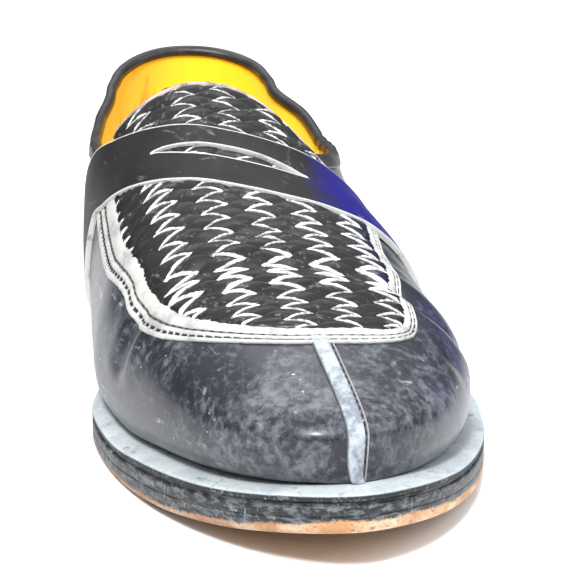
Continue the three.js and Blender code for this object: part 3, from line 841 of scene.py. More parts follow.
class Graph(Nodes):
    """The nodes of one finish, with the few moves that the finishes share."""

    def __init__(self, name: str, shader: dict[str, object]) -> None:
        """Starts a material.

        Args:
            name: Name of the finish.
            shader: Values of the shader's own sockets that are the same all over.
        """
        self.material = bpy.data.materials.new(name)
        self.material.use_nodes = True
        super().__init__(self.material.node_tree, "Principled BSDF")
        for socket, value in shader.items():
            self.target.inputs[socket].default_value = value
        self.place = Reading(self, self.add("ShaderNodeTexCoord").outputs["Object"])
        self.x, self.y, self.z = self.axes("ShaderNodeTexCoord", "Object")

    def stretch(self, scale: Colour, turn: Colour = (0.0, 0.0, 0.0)) -> Reading:
        """Object coordinates turned and stretched by a Mapping node."""
        node = self.add("ShaderNodeMapping", {}, {"Vector": self.place, "Scale": scale, "Rotation": turn})
        return Reading(self, node.outputs["Vector"])

    def noise(
        self, scale: float, detail: float = 4.0, rough: float = 0.55,
        warp: float = 0.0, where: Reading | None = None,
    ) -> Reading:
        """Noise from 0 to 1.

        Args:
            scale: Features to the metre, or to the unit of where.
            detail: Octaves.
            rough: Strength of the finer octaves.
            warp: Distortion.
            where: Coordinates, or nothing for Object coordinates.

        Returns:
            The noise.
        """
        values = {"Scale": scale, "Detail": detail, "Roughness": rough, "Distortion": warp}
        node = self.add("ShaderNodeTexNoise", {}, {"Vector": where or self.place, **values})
        return Reading(self, node.outputs["Fac"])

    def cells(self, scale: float) -> Reading:
        """Distance from the edges of irregular cells, as in the grain of leather."""
        values = {"Vector": self.place, "Scale": scale}
        node = self.add("ShaderNodeTexVoronoi", {"feature": "DISTANCE_TO_EDGE"}, values)
        return Reading(self, node.outputs["Distance"])

    def near(self, centre: Colour, radius: float, soft: float) -> Reading:
        """1 inside a ball about a point of the model, in metres, fading to 0 outside it."""
        node = self.add("ShaderNodeVectorMath", {"operation": "DISTANCE"}, {0: self.place, 1: centre})
        return self.step(Reading(self, node.outputs["Value"]), radius, radius + soft, 1.0, 0.0)

    def measures(self) -> tuple[Reading, Reading]:
        """The two measures of the piece's own map, in millimetres."""
        first, second, _ = self.axes("ShaderNodeUVMap", "UV", {"uv_map": "measure"})
        return first, second

    def blend(self, share: Reading | float, first: Reading | Colour, second: Reading | Colour) -> Reading:
        """Mix of two colours by a share."""
        colours = [c if isinstance(c, Reading) else (*c, 1.0) for c in (first, second)]
        node = self.add("ShaderNodeMix", {"data_type": "RGBA"}, {0: share, 6: colours[0], 7: colours[1]})
        return Reading(self, node.outputs[2])

    def done(
        self, tone: Reading, rough: Reading, height: Reading, depth: float, strength: float
    ) -> Material:
        """Feeds colour, roughness and relief to the shader.

        Args:
            tone: Base colour.
            rough: Roughness.
            height: Height of the relief, about 0 to 1.
            depth: Its depth in metres.
            strength: Its strength.

        Returns:
            The material.
        """
        node = self.add("ShaderNodeBump", {}, {"Strength": strength, "Distance": depth, "Height": height})
        self.feed(Base_Color=tone, Roughness=rough, Normal=Reading(self, node.outputs["Normal"]))
        return self.material


def shaded(colour: Colour, share: float) -> Colour:
    """The colour times a share."""
    return tuple(channel * share for channel in colour)


@dataclass(frozen=True)
class BlackLeather:
    """Polished black calf gone hazy with scuffs, a painted blue reflection on the lateral side, dust and a
    painted highlight at the foot.

    The bloom is the share of the surface that the haze takes; a painted highlight raises it on the toe.
    """

    name: str = "black_calf"
    dark: Colour = (0.009, 0.01, 0.015)
    haze: Colour = (0.2, 0.215, 0.24)
    blue_reflection: Colour = (0.02, 0.018, 0.1)
    scratched: Colour = (0.45, 0.46, 0.5)
    fleck: Colour = (0.7, 0.7, 0.7)
    dust_and_highlight: Colour = (0.3, 0.32, 0.34)
    bloom: float = 0.7
    # Centre of the painted highlight on the toe, in metres of the model.
    highlight_spot: Colour = (-0.016, -0.127, 0.038)

    def material(self) -> Material:
        """Dark calf under cloudy bloom, fine scratches, pale flecks and a painted highlight on the toe.

        Returns:
            The material.
        """
        shader = {"IOR": 1.5, "Coat Roughness": 0.22, "Coat IOR": 1.45, "Specular IOR Level": 0.22}
        g = Graph(self.name, shader)
        cloud = g.noise(30, 7, 0.66, 0.5)
        second = g.noise(85, 6, 0.7, 0.8)
        fine = g.noise(420, 5, 0.7)
        strokes = g.noise(150, 4, 0.6, 0.6, g.stretch((1.0, 0.25, 2.2), (0.3, 0.1, 0.5)))
        wisps = g.noise(60, 6, 0.75, 1.2, g.stretch((2.4, 0.7, 1.0), (0.2, 0.4, 0.7)))
        toe = g.step(g.y, -0.06, -0.14)
        low = g.step(g.z, 0.05, 0.02)
        # Haze rises a little toward the toe; low on the toe it stands for dust and a painted highlight.
        haze = cloud * 0.4 + second * 0.6 + (fine - 0.5) * 0.7 + toe * 0.03 + low * toe * 0.05
        # Painted highlight: the bloom is raised round a spot on the toe.
        rubbed_and_highlight = g.near(self.highlight_spot, 0.002, 0.02) * 0.05
        bloom = g.step(haze + rubbed_and_highlight, 0.46, 0.8) * self.bloom + g.step(wisps, 0.55, 0.7) * 0.35
        tone = g.blend(bloom, g.blend(cloud, self.dark, shaded(self.dark, 1.9)), self.haze)
        # Painted blue reflection on the lateral side.
        blue_reflection = g.step(g.x + (cloud - 0.5) * 0.03, 0.022, 0.04) * g.step(second, 0.42, 0.62) * 0.6
        scratch = g.step(strokes, 0.64, 0.72) * g.step(fine, 0.4, 0.6) * 0.45
        flecks = g.step(g.noise(520, 2, 0.5), 0.735, 0.77) * g.step(second, 0.45, 0.6) * 0.8
        # Paler near the ground on the toe: dust and a painted highlight.
        foot = g.step(g.z + (second - 0.5) * 0.012, 0.021, 0.0165) * toe * 0.5
        layers = ((blue_reflection, self.blue_reflection), (scratch, self.scratched), (flecks, self.fleck), (foot, self.dust_and_highlight))
        for share, colour in layers:
            tone = g.blend(share, tone, colour)
        g.feed(Coat_Weight=g.step(bloom, 0.0, 0.5, 0.4, 0.3))
        grain = g.cells(1500) * 0.8 + fine * 0.5 + g.noise(2600, 2) * 0.25
        return g.done(tone, 0.3 + bloom * 0.35 + fine * 0.15, grain, 0.00012, 0.5)


@dataclass(frozen=True)
class StripLeather:
    """Woven strips: glossy black on top, raw and pale along their cut sides."""

    name: str = "woven_strip"
    face: Colour = (0.007, 0.008, 0.008)
    faded: Colour = (0.022, 0.022, 0.02)
    blue_reflection: Colour = (0.012, 0.01, 0.05)
    rubbed_and_highlight: Colour = (0.3, 0.3, 0.31)
    raw: Colour = (0.92, 0.92, 0.88)
    dull: Colour = (0.38, 0.39, 0.38)

    def material(self) -> Material:
        """Black strip, white on its cut side toward the toe.

        The first measure is the station along the shoe. The second runs over the strip's section
        from 0 on its heel side to 1 on its toe side.

        Returns:
            The material.
        """
        g = Graph(self.name, {"IOR": 1.5, "Coat Roughness": 0.2, "Specular IOR Level": 0.14})
        station, around = g.measures()
        fine = g.noise(700, 4, 0.7)
        blotch = g.noise(90, 4, 0.6)
        wear = g.noise(170, 5, 0.7, 0.3)
        crease = g.step(station, 213, 220) * g.step(station, 236, 230)
        ahead = g.step(station, 150, 175)
        level = around + (fine - 0.5) * 0.08 + (wear - 0.5) * 0.26 + crease * 0.1 + ahead * 0.03
        side = g.step(level, 0.82, 0.88)
        behind = g.step(around + (wear - 0.5) * 0.2, 0.1, 0.04) * 0.35
        tone = g.blend(blotch, self.face, self.faded)
        # Painted blue reflection on the lateral side.
        tone = g.blend(g.step(g.x + blotch * 0.03, 0.03, 0.045) * 0.8, tone, self.blue_reflection)
        tone = g.blend(g.step(fine + wear, 1.08, 1.24) * 0.3, tone, self.rubbed_and_highlight)
        cut = g.blend(g.step(fine + wear, 0.8, 1.15), self.dull, self.raw)
        tone = g.blend(g.maths("MAXIMUM", side, behind), tone, cut)
        g.feed(Coat_Weight=g.step(side, 0.0, 0.6, 0.14, 0.0))
        return g.done(tone, 0.32 + side * 0.45 + fine * 0.15, g.cells(1400) * 0.6 + fine * 0.6, 0.0001, 0.5)


@dataclass(frozen=True)
class RawBand:
    """Folded seam band round the apron: pale worn leather with two grooves darkened by thread and painted
    shade.
    """

    name: str = "seam_band"
    pale: Colour = (0.6, 0.6, 0.57)
    smudge: Colour = (0.2, 0.21, 0.22)
    dark: Colour = (0.03, 0.031, 0.036)
    grooves: tuple[float, float] = (1.25, 2.75)
    stitch: float = 3.0

    def material(self) -> Material:
        """The measures are the length along the band and the distance across it.

        The outer groove is broken into dashes, the inner one runs on.

        Returns:
            The material.
        """
        g = Graph(self.name, {"IOR": 1.48, "Specular IOR Level": 0.25})
        run, across = g.measures()
        fine = g.noise(800, 5, 0.7)
        blotch = g.noise(110, 5, 0.65, 0.5)
        wander = (blotch - 0.5) * 0.35
        # The dark lines in the grooves are dark thread and painted shade; the outer one is broken into
        # stitch dashes.
        dash = g.step(g.maths("SINE", run * (2 * math.pi / self.stitch)), -0.75, -0.2)
        outer, inner = (g.maths("ABSOLUTE", across - groove + wander) for groove in self.grooves)
        outer, inner = g.step(outer, 0.2, 0.42, 1.0, 0.0) * dash, g.step(inner, 0.16, 0.36, 0.8, 0.0)
        smudge = g.step(blotch + (fine - 0.5) * 0.5, 0.46, 0.68) * 0.6
        tone = g.blend(smudge, g.blend(fine, shaded(self.pale, 0.62), self.pale), self.smudge)
        tone = g.blend(g.maths("MAXIMUM", outer, inner), tone, self.dark)
        return g.done(tone, 0.6 + fine * 0.25, fine * 0.8 + g.cells(1100) * 0.4, 0.0002, 0.8)


@dataclass(frozen=True)
class StripBand:
    """Strip down the toe: blue-grey leather worn by rubbing, darker along its sides."""

    name: str = "toe_strip_grey"
    pale: Colour = (0.4, 0.44, 0.48)
    dull: Colour = (0.17, 0.19, 0.22)
    side: Colour = (0.03, 0.031, 0.036)
    bead_dark: Colour = (0.06, 0.06, 0.07)
    bead_pale: Colour = (0.5, 0.46, 0.46)

    def material(self) -> Material:
        """The second measure is the distance from the strip's middle, plus an offset.

        Returns:
            The material.
        """
        g = Graph(self.name, {"IOR": 1.48, "Specular IOR Level": 0.25})
        across = g.measures()[1]
        fine = g.noise(900, 5, 0.7)
        blotch = g.noise(130, 5, 0.65, 0.5)
        tone = g.blend(g.step(blotch + (fine - 0.5) * 0.5, 0.35, 0.65), self.dull, self.pale)
        tone = g.blend(g.step(across + (blotch - 0.5) * 0.8, 5.9, 6.3) * 0.75, tone, self.side)
        tone = g.blend(g.step(across, 6.8, 7.0), tone, g.blend(fine, self.bead_dark, self.bead_pale))
        return g.done(tone, 0.5 + fine * 0.25, fine * 0.8 + g.cells(1100) * 0.4, 0.0002, 0.7)


@dataclass(frozen=True)
class SaddleLeather:
    """Dull black saddle with a painted blue reflection at its lateral end, pale along its cut edges."""

    name: str = "saddle_calf"
    face: Colour = (0.008, 0.008, 0.008)
    faded: Colour = (0.026, 0.025, 0.024)
    blue_reflection: Colour = (0.01, 0.007, 0.16)
    dim_blue_reflection: Colour = (0.008, 0.007, 0.06)
    wisp: Colour = (0.26, 0.26, 0.3)
    raw: Colour = (0.62, 0.63, 0.6)

    def material(self) -> Material:
        """The first measure is the distance from the nearest cut edge, in millimetres.

        Returns:
            The material.
        """
        g = Graph(self.name, {"IOR": 1.5, "Coat Roughness": 0.3, "Specular IOR Level": 0.12})
        gap = g.measures()[0]
        fine = g.noise(600, 5, 0.7)
        cloud = g.noise(60, 5, 0.6, 0.3)
        # end and blue paint a blue reflection on the lateral end, brighter higher up.
        end = g.step(g.x + (cloud - 0.5) * 0.02, 0.009, 0.022)
        blue = g.blend(g.step(g.z + (cloud - 0.5) * 0.03, 0.035, 0.055), self.dim_blue_reflection, self.blue_reflection)
        tone = g.blend(cloud, self.face, self.faded)
        tone = g.blend(end * g.step(cloud + (fine - 0.5) * 0.3, 0.2, 0.5, 0.7, 0.97), tone, blue)
        wisp = g.noise(150, 5, 0.7, 0.8, g.stretch((1.0, 0.5, 1.6), (0.2, 0.5, 0.9)))
        tone = g.blend(g.step(wisp + (fine - 0.5) * 0.3, 0.6, 0.72) * 0.35, tone, self.wisp)
        cut = g.step(gap + (fine - 0.5) * 0.5 + (cloud - 0.5) * 0.6, 0.75, 0.35)
        tone = g.blend(cut * 0.9, tone, self.raw)
        g.feed(Coat_Weight=g.step(cloud, 0.3, 0.7, 0.03, 0.1))
        rough = 0.42 + cut * 0.3 + fine * 0.14 + cloud * 0.1
        return g.done(tone, rough, g.cells(1600) * 0.7 + fine * 0.6, 0.0001, 0.5)


@dataclass(frozen=True)
class CutEdge:
    """Raw cut side of a strap: pale, fibrous and a little dirty."""

    name: str = "cut_edge"
    pale: Colour = (0.68, 0.69, 0.66)
    dirt: Colour = (0.05, 0.05, 0.055)

    def material(self) -> Material:
        """Pale fibres broken by dark flecks.

        Returns:
            The material.
        """
        g = Graph(self.name, {"Specular IOR Level": 0.3})
        fine = g.noise(1300, 4, 0.75)
        flecks = g.step(g.noise(200, 4, 0.6) + (fine - 0.5) * 0.5, 0.56, 0.72) * 0.6
        tone = g.blend(flecks, g.blend(fine, shaded(self.pale, 0.6), self.pale), self.dirt)
        return g.done(tone, 0.7 + fine * 0.2, fine, 0.0003, 0.8)


@dataclass(frozen=True)
class Lining:
    """Bright yellow kid lining, orange toward the medial side and lower down, with painted shade in its
    medial folds.
    """

    name: str = "yellow_kid"
    bright: Colour = (1.0, 0.78, 0.03)
    warm: Colour = (0.9, 0.38, 0.05)
    low: Colour = (0.75, 0.38, 0.05)
    streak: Colour = (0.55, 0.15, 0.03)

    def material(self) -> Material:
        """Yellow turning orange to the medial side and downward, with a fine grain.

        Returns:
            The material.
        """
        g = Graph(self.name, {"Specular IOR Level": 0.35, "Sheen Weight": 0.1})
        cloud = g.noise(45, 5, 0.6, 0.5)
        fine = g.noise(900, 4, 0.6)
        turn = g.step(g.x + (cloud - 0.5) * 0.03, 0.01, -0.022)
        tone = g.blend(turn * 0.6, self.bright, self.warm)
        tone = g.blend(g.step(g.z, 0.07, 0.035) * 0.5, tone, self.low)
        # Dark vertical streaks on the medial side: painted shade in the lining's folds.
        streak = g.noise(120, 4, 0.6, 0.4, g.stretch((1.0, 1.0, 0.25)))
        tone = g.blend(g.step(streak, 0.52, 0.68) * turn * 0.6, tone, self.streak)
        return g.done(tone, 0.5 + fine * 0.2, g.cells(1300) * 0.6 + fine * 0.5, 0.0001, 0.4)


@dataclass(frozen=True)
class WeltLeather:
    """Welt: pale grey and bluish on top as a painted sky reflection, with dirt and a painted gap shadow; its
    outer edge black.
    """

    name: str = "welt_grey"
    pale: Colour = (0.5, 0.53, 0.53)
    blue_sky_reflection: Colour = (0.33, 0.38, 0.42)
    dirt: Colour = (0.16, 0.18, 0.2)
    stain: Colour = (0.1, 0.11, 0.12)
    # Colour of the painted shadow in the gap where the upper lifts off the welt.
    gap: Colour = (0.004, 0.004, 0.004)
    edge: Colour = (0.02, 0.022, 0.024)
    scuff: Colour = (0.25, 0.26, 0.26)
    # Centre of that painted shadow, in metres of the model.
    gap_shadow_spot: Colour = (0.05, -0.07, 0.013)
    wheel: float = 2.6

    def material(self) -> Material:
        """The measures are the length around and the distance round the section.

        The second one is 0 at the outer corner of the top and below 0 toward the wall.

        Returns:
            The material.
        """
        g = Graph(self.name, {"Specular IOR Level": 0.25})
        run, round_section = g.measures()
        fine = g.noise(900, 5, 0.7)
        cloud = g.noise(70, 5, 0.65, 0.4)
        stain = g.step(g.noise(200, 5, 0.7, 0.5) + (fine - 0.5) * 0.3, 0.58, 0.68)
        # Painted shadow on the welt beside the wall at the lateral front, where the upper lifts off it.
        painted_gap_shadow = g.near(self.gap_shadow_spot, 0.012, 0.012) * g.step(round_section, -3.6, -4.6)
        side = g.step(round_section + (cloud - 0.5) * 0.8, 0.3, 0.75)
        # Pale grey and bluish clouds on the top: a painted reflection of the sky.
        tone = g.blend(g.step(cloud, 0.3, 0.7), self.blue_sky_reflection, self.pale)
        edge = g.blend(g.step(fine + cloud, 1.0, 1.3), self.edge, self.scuff)
        dirt = g.step(fine, 0.52, 0.75) * 0.5
        layers = ((dirt, self.dirt), (stain * 0.55, self.stain), (painted_gap_shadow, self.gap), (side, edge))
        for share, colour in layers:
            tone = g.blend(share, tone, colour)
        marks = g.maths("SINE", run * (2 * math.pi / self.wheel)) * g.step(round_section, -1.4, -0.4)
        return g.done(tone, 0.55 + fine * 0.2, fine * 0.6 + marks * 0.25, 0.00018, 0.6)


@dataclass(frozen=True)
class SoleEdge:
    """Sole edge: black dressing, scuffed grey, worn to raw tan leather at the bottom."""

    name: str = "sole_edge"
    black: Colour = (0.02, 0.021, 0.024)
    grey: Colour = (0.17, 0.19, 0.2)
    scrape: Colour = (0.55, 0.56, 0.55)
    tan: Colour = (0.5, 0.26, 0.12)
    cream: Colour = (0.78, 0.56, 0.4)
    dirt: Colour = (0.06, 0.05, 0.045)

    def material(self) -> Material:
        """The second measure is the height above the underside, in millimetres.

        Returns:
            The material.
        """
        g = Graph(self.name, {"Specular IOR Level": 0.25})
        rise = g.measures()[1]
        fine = g.noise(900, 5, 0.7)
        cloud = g.noise(75, 5, 0.65, 0.5)
        streak = g.noise(220, 5, 0.65, 0.3, g.stretch((1.0, 1.0, 3.5)))
        ahead = g.step(g.y, 0.02, -0.08)
        outer = g.step(g.x + (cloud - 0.5) * 0.02, -0.035, -0.005)
        line = rise + (cloud - 0.5) * 3.8 + (fine - 0.5) * 2.4 - outer * ahead * 1.1
        bare = g.step(line, 2.7, 1.7) * (ahead * 0.45 + 0.2 + outer * ahead * 0.35)
        grey = g.step(streak + (fine - 0.5) * 0.3, 0.44, 0.64)
        scrape = g.noise(260, 5, 0.75, 0.6, g.stretch((2.2, 2.2, 0.8), (0.0, 0.5, 0.3)))
        raw = g.blend(g.step(cloud + (fine - 0.5) * 0.6, 0.35, 0.65), self.tan, self.cream)
        raw = g.blend(g.step(fine + (streak - 0.5) * 0.4, 0.52, 0.66) * 0.7, raw, self.dirt)
        tone = g.blend(grey * 0.75, self.black, self.grey)
        tone = g.blend(g.step(scrape, 0.6, 0.68) * 0.7, tone, self.scrape)
        tone = g.blend(bare, tone, raw)
        return g.done(tone, 0.4 + bare * 0.35 + grey * 0.15, fine * 0.7 + streak * 0.5, 0.00025, 0.7)


@dataclass(frozen=True)
class SoleBottom:
    """Leather sole from below: tan, ground grey at the tread and dark at its edge."""

    name: str = "sole_bottom"
    tan: Colour = (0.36, 0.2, 0.1)
    light: Colour = (0.5, 0.31, 0.17)
    ground: Colour = (0.16, 0.14, 0.125)
    dark: Colour = (0.03, 0.028, 0.027)
    ball_spot: Colour = (0.0, -0.045, 0.0)

    def material(self) -> Material:
        """The second measure is the distance from the edge, in millimetres.

        Returns:
            The material.
        """
        g = Graph(self.name, {"Specular IOR Level": 0.35})
        inside = g.measures()[1]
        fine = g.noise(700, 5, 0.7)
        cloud = g.noise(30, 6, 0.65, 0.6)
        tread = g.near(self.ball_spot, 0.02, 0.05) * 0.8 + g.step(cloud, 0.45, 0.7) * 0.4
        tone = g.blend(cloud, self.tan, self.light)
        tone = g.blend(g.step(tread + (fine - 0.5) * 0.4, 0.3, 0.9) * 0.75, tone, self.ground)
        tone = g.blend(g.step(inside + (cloud - 0.5) * 2, 2.6, 1.2) * 0.8, tone, self.dark)
        return g.done(tone, 0.6 + fine * 0.25, fine + g.noise(160, 4, 0.7) * 0.6, 0.0004, 0.6)


@dataclass(frozen=True)
class PlainFinish:
    """A small part's finish: one tone broken by fine dirt, grain being the scale of its noise."""

    name: str
    tone: Colour
    worn: Colour
    rough: float = 0.5
    grain: float = 900.0
    metal: float = 0.0

    def material(self) -> Material:
        """Tone and worn tone mixed by fine noise, with a shallow grain.

        Returns:
            The material.
        """
        g = Graph(self.name, {"Metallic": self.metal})
        fine = g.noise(self.grain, 5, 0.7)
        wide = g.noise(self.grain / 9, 4, 0.6, 0.3)
        tone = g.blend(g.step(wide + (fine - 0.5) * 0.5, 0.4, 0.75), self.tone, self.worn)
        return g.done(tone, self.rough + fine * 0.2, fine, 0.00015, 0.6)


def beads(centres: Array, along: Array, up: Array, size: Colour) -> Array:
    """Stitches as small closed beads, each a lens: length by width by height.

    A bead's section at share t of its length is an ellipse scaled by the sine of pi t to the
    power 0.5, so it is blunt at its ends.

    Args:
        centres: One point a stitch.
        along: Direction of each stitch.
        up: Direction out of the leather.
        size: Length, width and height of a stitch.

    Returns:
        Stitches by rows by columns by three.
    """
    along = unit(along)
    up = unit(up - along * np.sum(up * along, axis=1, keepdims=True))
    t = np.linspace(0, 1, 5)[:, None]
    turn = np.linspace(0, 2 * math.pi, 7)[None, :]
    swell = np.sin(math.pi * t).clip(0) ** 0.5
    run = (t - 0.5) * size[0] + 0 * turn
    side = swell * np.cos(turn) * size[1] / 2
    rise = swell * np.sin(turn) * size[2] / 2
    parts = [(run, along), (side, np.cross(along, up)), (rise, up)]
    offset = sum(value[None, :, :, None] * axis[:, None, None, :] for value, axis in parts)
    return centres[:, None, None, :] + offset


def ring(w: Array, inset: Array | float, line: Curve, rise: float = 0.0) -> Array:
    """One level of a profile around the shoe: the sole's rim drawn in, at a height above a line.

    Args:
        w: Places around.
        inset: How far the rim is drawn in.
        line: Height of the line by station.
        rise: Height above it.

    Returns:
        Points x, s, z.
    """
    x, s = LAST.rim(w, inset)
    return np.stack([x, s, line(s) + rise], axis=-1)


@dataclass
class Sole:
    """Outsole, welt, stacked heel and top lift."""

    shop: Workshop
    welt_thick: float = 3.5
    corner: float = 2.2
    shoulder: float = 1.4
    scored: tuple[tuple[float, float], ...] = (
        (0.35, 0.0), (0.47, 0.0), (0.5, 0.22), (0.53, 0.0), (0.75, 0.0),
    )
    groove: float = 0.9
    wall: float = 2.2
    heel_breast: float = 66.0
    breast_bow: float = 4.0
    heel_inset: float = 1.9
    lift_thick: float = 6.0
    lifts: int = 3
    nail_inset: tuple[float, float] = (9.0, 7.0)
    nail_count: int = 18
    nail_radius: float = 0.9
    around: int = 420

    def __post_init__(self) -> None:
        """Prepares the places around the shoe and the corner's turn."""
        self.w = np.linspace(-3, 3, self.around + 1)
        self.turn = np.linspace(0, math.pi / 2, 5)

    def outsole_top(self, s: Array) -> Array:
        """Height where the welt lies on the outsole."""
        return LAST.feather(s) - self.welt_thick

    def cap(self, ends: Array, count: int, sag: float = 0.0) -> Array:
        """Grid across a closed ring from its medial half to its lateral half.

        Args:
            ends: Points around, from the toe over the medial side and the heel back to the toe.
            count: Number of steps across.
            sag: Depth of a hollow across it, as a parabola.

        Returns:
            Rows along by columns across.
        """
        half = len(ends) // 2
        lateral, medial = ends[half:], ends[: half + 1][::-1]
        t = np.linspace(0, 1, count + 1)[None, :, None]
        grid = medial[:, None, :] * (1 - t) + lateral[:, None, :] * t
        hollow = 4 * t[..., 0] * (1 - t[..., 0]) * sag
        width = np.linalg.norm(lateral - medial, axis=1)[:, None]
        grid[..., 2] -= hollow * np.clip(width / 40.0, 0, 1)
        return grid

    def outsole(self, edge: Material, bottom: Material) -> Thing:
        """The slab: a rounded lower corner, a proud side with a faint line, a groove on top.

        Args:
            edge: Finish of the side.
            bottom: Finish of the underside.

        Returns:
            The outsole.
        """
        under, top = LAST.under, self.outsole_top

        def side_height(share: float) -> Curve:
            """Height at a share of the way from the lower corner to the shoulder."""
            free = self.corner + self.shoulder
            return lambda s: under(s) + self.corner + share * (top(s) - under(s) - free)

        r = self.corner
        levels = [(r * (1 - math.sin(a)), under, r * (1 - math.cos(a))) for a in self.turn]
        levels += [(inset, side_height(share), 0.0) for share, inset in self.scored]
        levels += [(0.0, top, -1.5), (0.25, top, -1.15), (self.groove, top, -0.95), (self.groove, top, -0.3)]
        side = np.stack([ring(self.w, *level) for level in levels])
        base, lid = self.cap(side[0], 12), self.cap(side[-1], 4)
        width = np.linalg.norm(base[:, -1] - base[:, 0], axis=-1)[:, None]
        t = np.linspace(0, 1, base.shape[1])[None, :]
        patches = [
            Patch(side, pair(runs(side, 1), side[..., 2] - under(side[..., 1]), side.shape)),
            Patch(base, pair(base[..., 1], np.minimum(t, 1 - t) * width, base.shape), finish=1),
            Patch(lid, pair(lid[..., 0], 9.0, lid.shape)),
        ]
        return self.shop.solid("outsole_slab", patches, [edge, bottom], "sole_leather", "outsole", 50)

    def welt(self, finish: Material) -> Thing:
        """The welt: flat under the wall, then sloping down to a rounded outer edge.

        Each row of its section is an inset, a line with a height over it, and a mark for the
        finish: below 0 on top, 0 at the outer corner and above 0 down the side.

        Args:
            finish: Its material.

        Returns:
            The welt.
        """
        top, feather, shelf = self.outsole_top, LAST.feather, LAST.shelf(self.w)
        inner = shelf + self.wall + 0.3
        section = (
            (inner, feather, 0.0, -9.0),
            (shelf - 0.3, feather, 0.0, -6.0),
            (shelf * 0.72, feather, -0.32, -4.4),
            (shelf * 0.42, feather, -0.75, -2.6),
            (1.0, feather, -1.25, -0.9),
            (0.5, feather, -1.4, -0.3),
            (0.15, feather, -1.65, 0.1),
            (0.0, feather, -2.0, 0.5),
            (0.0, top, 0.45, 1.6),
            (0.3, top, 0.02, 2.2),
            (inner, top, 0.02, 9.0),
            (inner, feather, 0.0, 12.0),
        )
        grid = np.stack([ring(self.w, *row[:3]) for row in section])
        marks = np.array([row[3] for row in section])[:, None]
        patch = Patch(grid, pair(runs(grid, 1)[4], marks, grid.shape))
        return self.shop.solid("welt_strip", [patch], [finish], "welt_leather", "welt", 60)

    def breast(self, x: Array) -> Array:
        """Station of the heel's front face: bowed backward in the middle."""
        return self.heel_breast - self.breast_bow * (1 - (x / 60.0) ** 2)

    def breast_end(self, side: float, inset: float, breast_in: float) -> float:
        """Place where the rim, drawn in, meets the breast on one side.

        Args:
            side: Sign of x on the side.
            inset: How far the rim is drawn in.
            breast_in: How far the breast is moved back.

        Returns:
            The place around.
        """

        def ahead(w: Array) -> Array:
            """Whether the rim lies ahead of the breast."""
            x, s = LAST.rim(side * w, inset)
            return s > self.breast(x) - breast_in

        return float(side * bisect(np.array(1.0), np.array(1.6), ahead)[0])

    def seat(self, inset: float, breast_in: float = 0.0) -> Array:
        """Closed outline of the heel at one level: the rim behind the breast, then the breast.

        Args:
            inset: How far the rim is drawn in.
            breast_in: How far the breast is moved back.

        Returns:
            Points x, s around.
        """
        ends = [self.breast_end(side, inset, breast_in) for side in (-1.0, 1.0)]
        x, s = LAST.rim(np.linspace(*ends, 120), inset)
        across = np.linspace(x[-1], x[0], 40)[1:]
        front = np.stack([across, self.breast(across) - breast_in], axis=-1)
        return np.concatenate([np.stack([x, s], axis=-1), front])

    def heel(self, finish: Material) -> Thing:
        """Stacked lifts with a fine line between them, up to the sole's underside.

        Args:
            finish: Its material.

        Returns:
            The heel.
        """
        bottom = self.lift_thick + 0.3
        profile = ((0.0, 0.35), (0.06, 0.06), (0.5, 0.0), (0.94, 0.06), (1.0, 0.35))
        rings = []
        for lift in range(self.lifts):
            for part, inward in profile:
                share = (lift + part) / self.lifts
                outline = self.seat(2.1 - 1.2 * share + inward, inward + 0.6 * (1 - share))
                top = LAST.under(outline[:, 1]) - 0.2
                rings.append(np.column_stack([outline, bottom + share * (top - bottom)]))
        return self.stacked("heel_stack", rings, finish, "heel_leather", "heel")

    def top_lift(self, finish: Material) -> Thing:
        """The tread piece under the heel, its lower edge rounded by wear.

        Args:
            finish: Its material.

        Returns:
            The top lift.
        """
        least, thick = self.heel_inset, self.lift_thick
        levels = [(least + 1.1 * (1 - math.sin(a)), 1.1 * (1 - math.cos(a))) for a in self.turn]
        levels += [(least, thick - 0.5), (least + 0.2, thick - 0.1), (least + 0.6, thick + 0.2)]
        rings = []
        for inset, height in levels:
            outline = self.seat(inset, inset - least)
            rings.append(np.column_stack([outline, np.full(len(outline), height)]))
        return self.stacked("heel_top_lift", rings, finish, "heel_rubber", "top_lift")

    def stacked(self, name: str, rings: list[Array], finish: Material, slot: str, node: str) -> Thing:
        """A piece from a stack of rings, closed with caps that shrink to the middle of its ends.

        Args:
            name: Name of the piece.
            rings: Points around at each level.
            finish: Its material.
            slot: Name of a material slot.
            node: CAD node that it stands for.

        Returns:
            The piece.
        """
        side = np.stack(rings)
        closed = np.concatenate([side, side[:, :1]], axis=1)
        share = np.linspace(0, 1, 6)[:, None, None]
        caps = [Patch(closed[end] * (1 - share) + side[end].mean(axis=0) * share) for end in (0, -1)]
        return self.shop.solid(name, [Patch(closed), *caps], [finish], slot, node, 40)

    def nails(self, finish: Material) -> Thing:
        """Heads of the nails that hold the top lift, set round its tread face.

        Args:
            finish: Their material.

        Returns:
            The nail heads.
        """
        outline = even(self.seat(*self.nail_inset), self.nail_count + 1)[:-1]
        centres = np.column_stack([outline, np.full(len(outline), 0.02)])
        turn = np.linspace(0, 2 * math.pi, 9)[None, :]
        reach = np.array([0.0, self.nail_radius - 0.15, self.nail_radius, self.nail_radius])[:, None]
        rise = np.array([0.0, 0.0, 0.15, 0.6])[:, None] + 0 * turn
        disc = np.stack([reach * np.cos(turn), reach * np.sin(turn), rise], axis=-1)
        return self.shop.loose("heel_nails", disc + centres[:, None, None, :], finish, "heel_rubber")

    def sock(self, finish: Material) -> Thing:
        """The insole and its sock: fills the welt's ring and dishes under the foot.

        Args:
            finish: Its material.

        Returns:
            The insole.
        """
        inner = LAST.shelf(self.w) + self.wall
        levels = ((0.9, self.outsole_top, 0.1), (0.9, LAST.feather, 1.2), (-0.9, LAST.feather, 1.9))
        side = np.stack([ring(self.w, inner + inset, line, rise) for inset, line, rise in levels])
        patches = [Patch(side), Patch(self.cap(side[-1], 14, 0.9)), Patch(self.cap(side[0], 3))]
        return self.shop.solid("insole_sock", patches, [finish], "yellow_lining", "insole", 50)


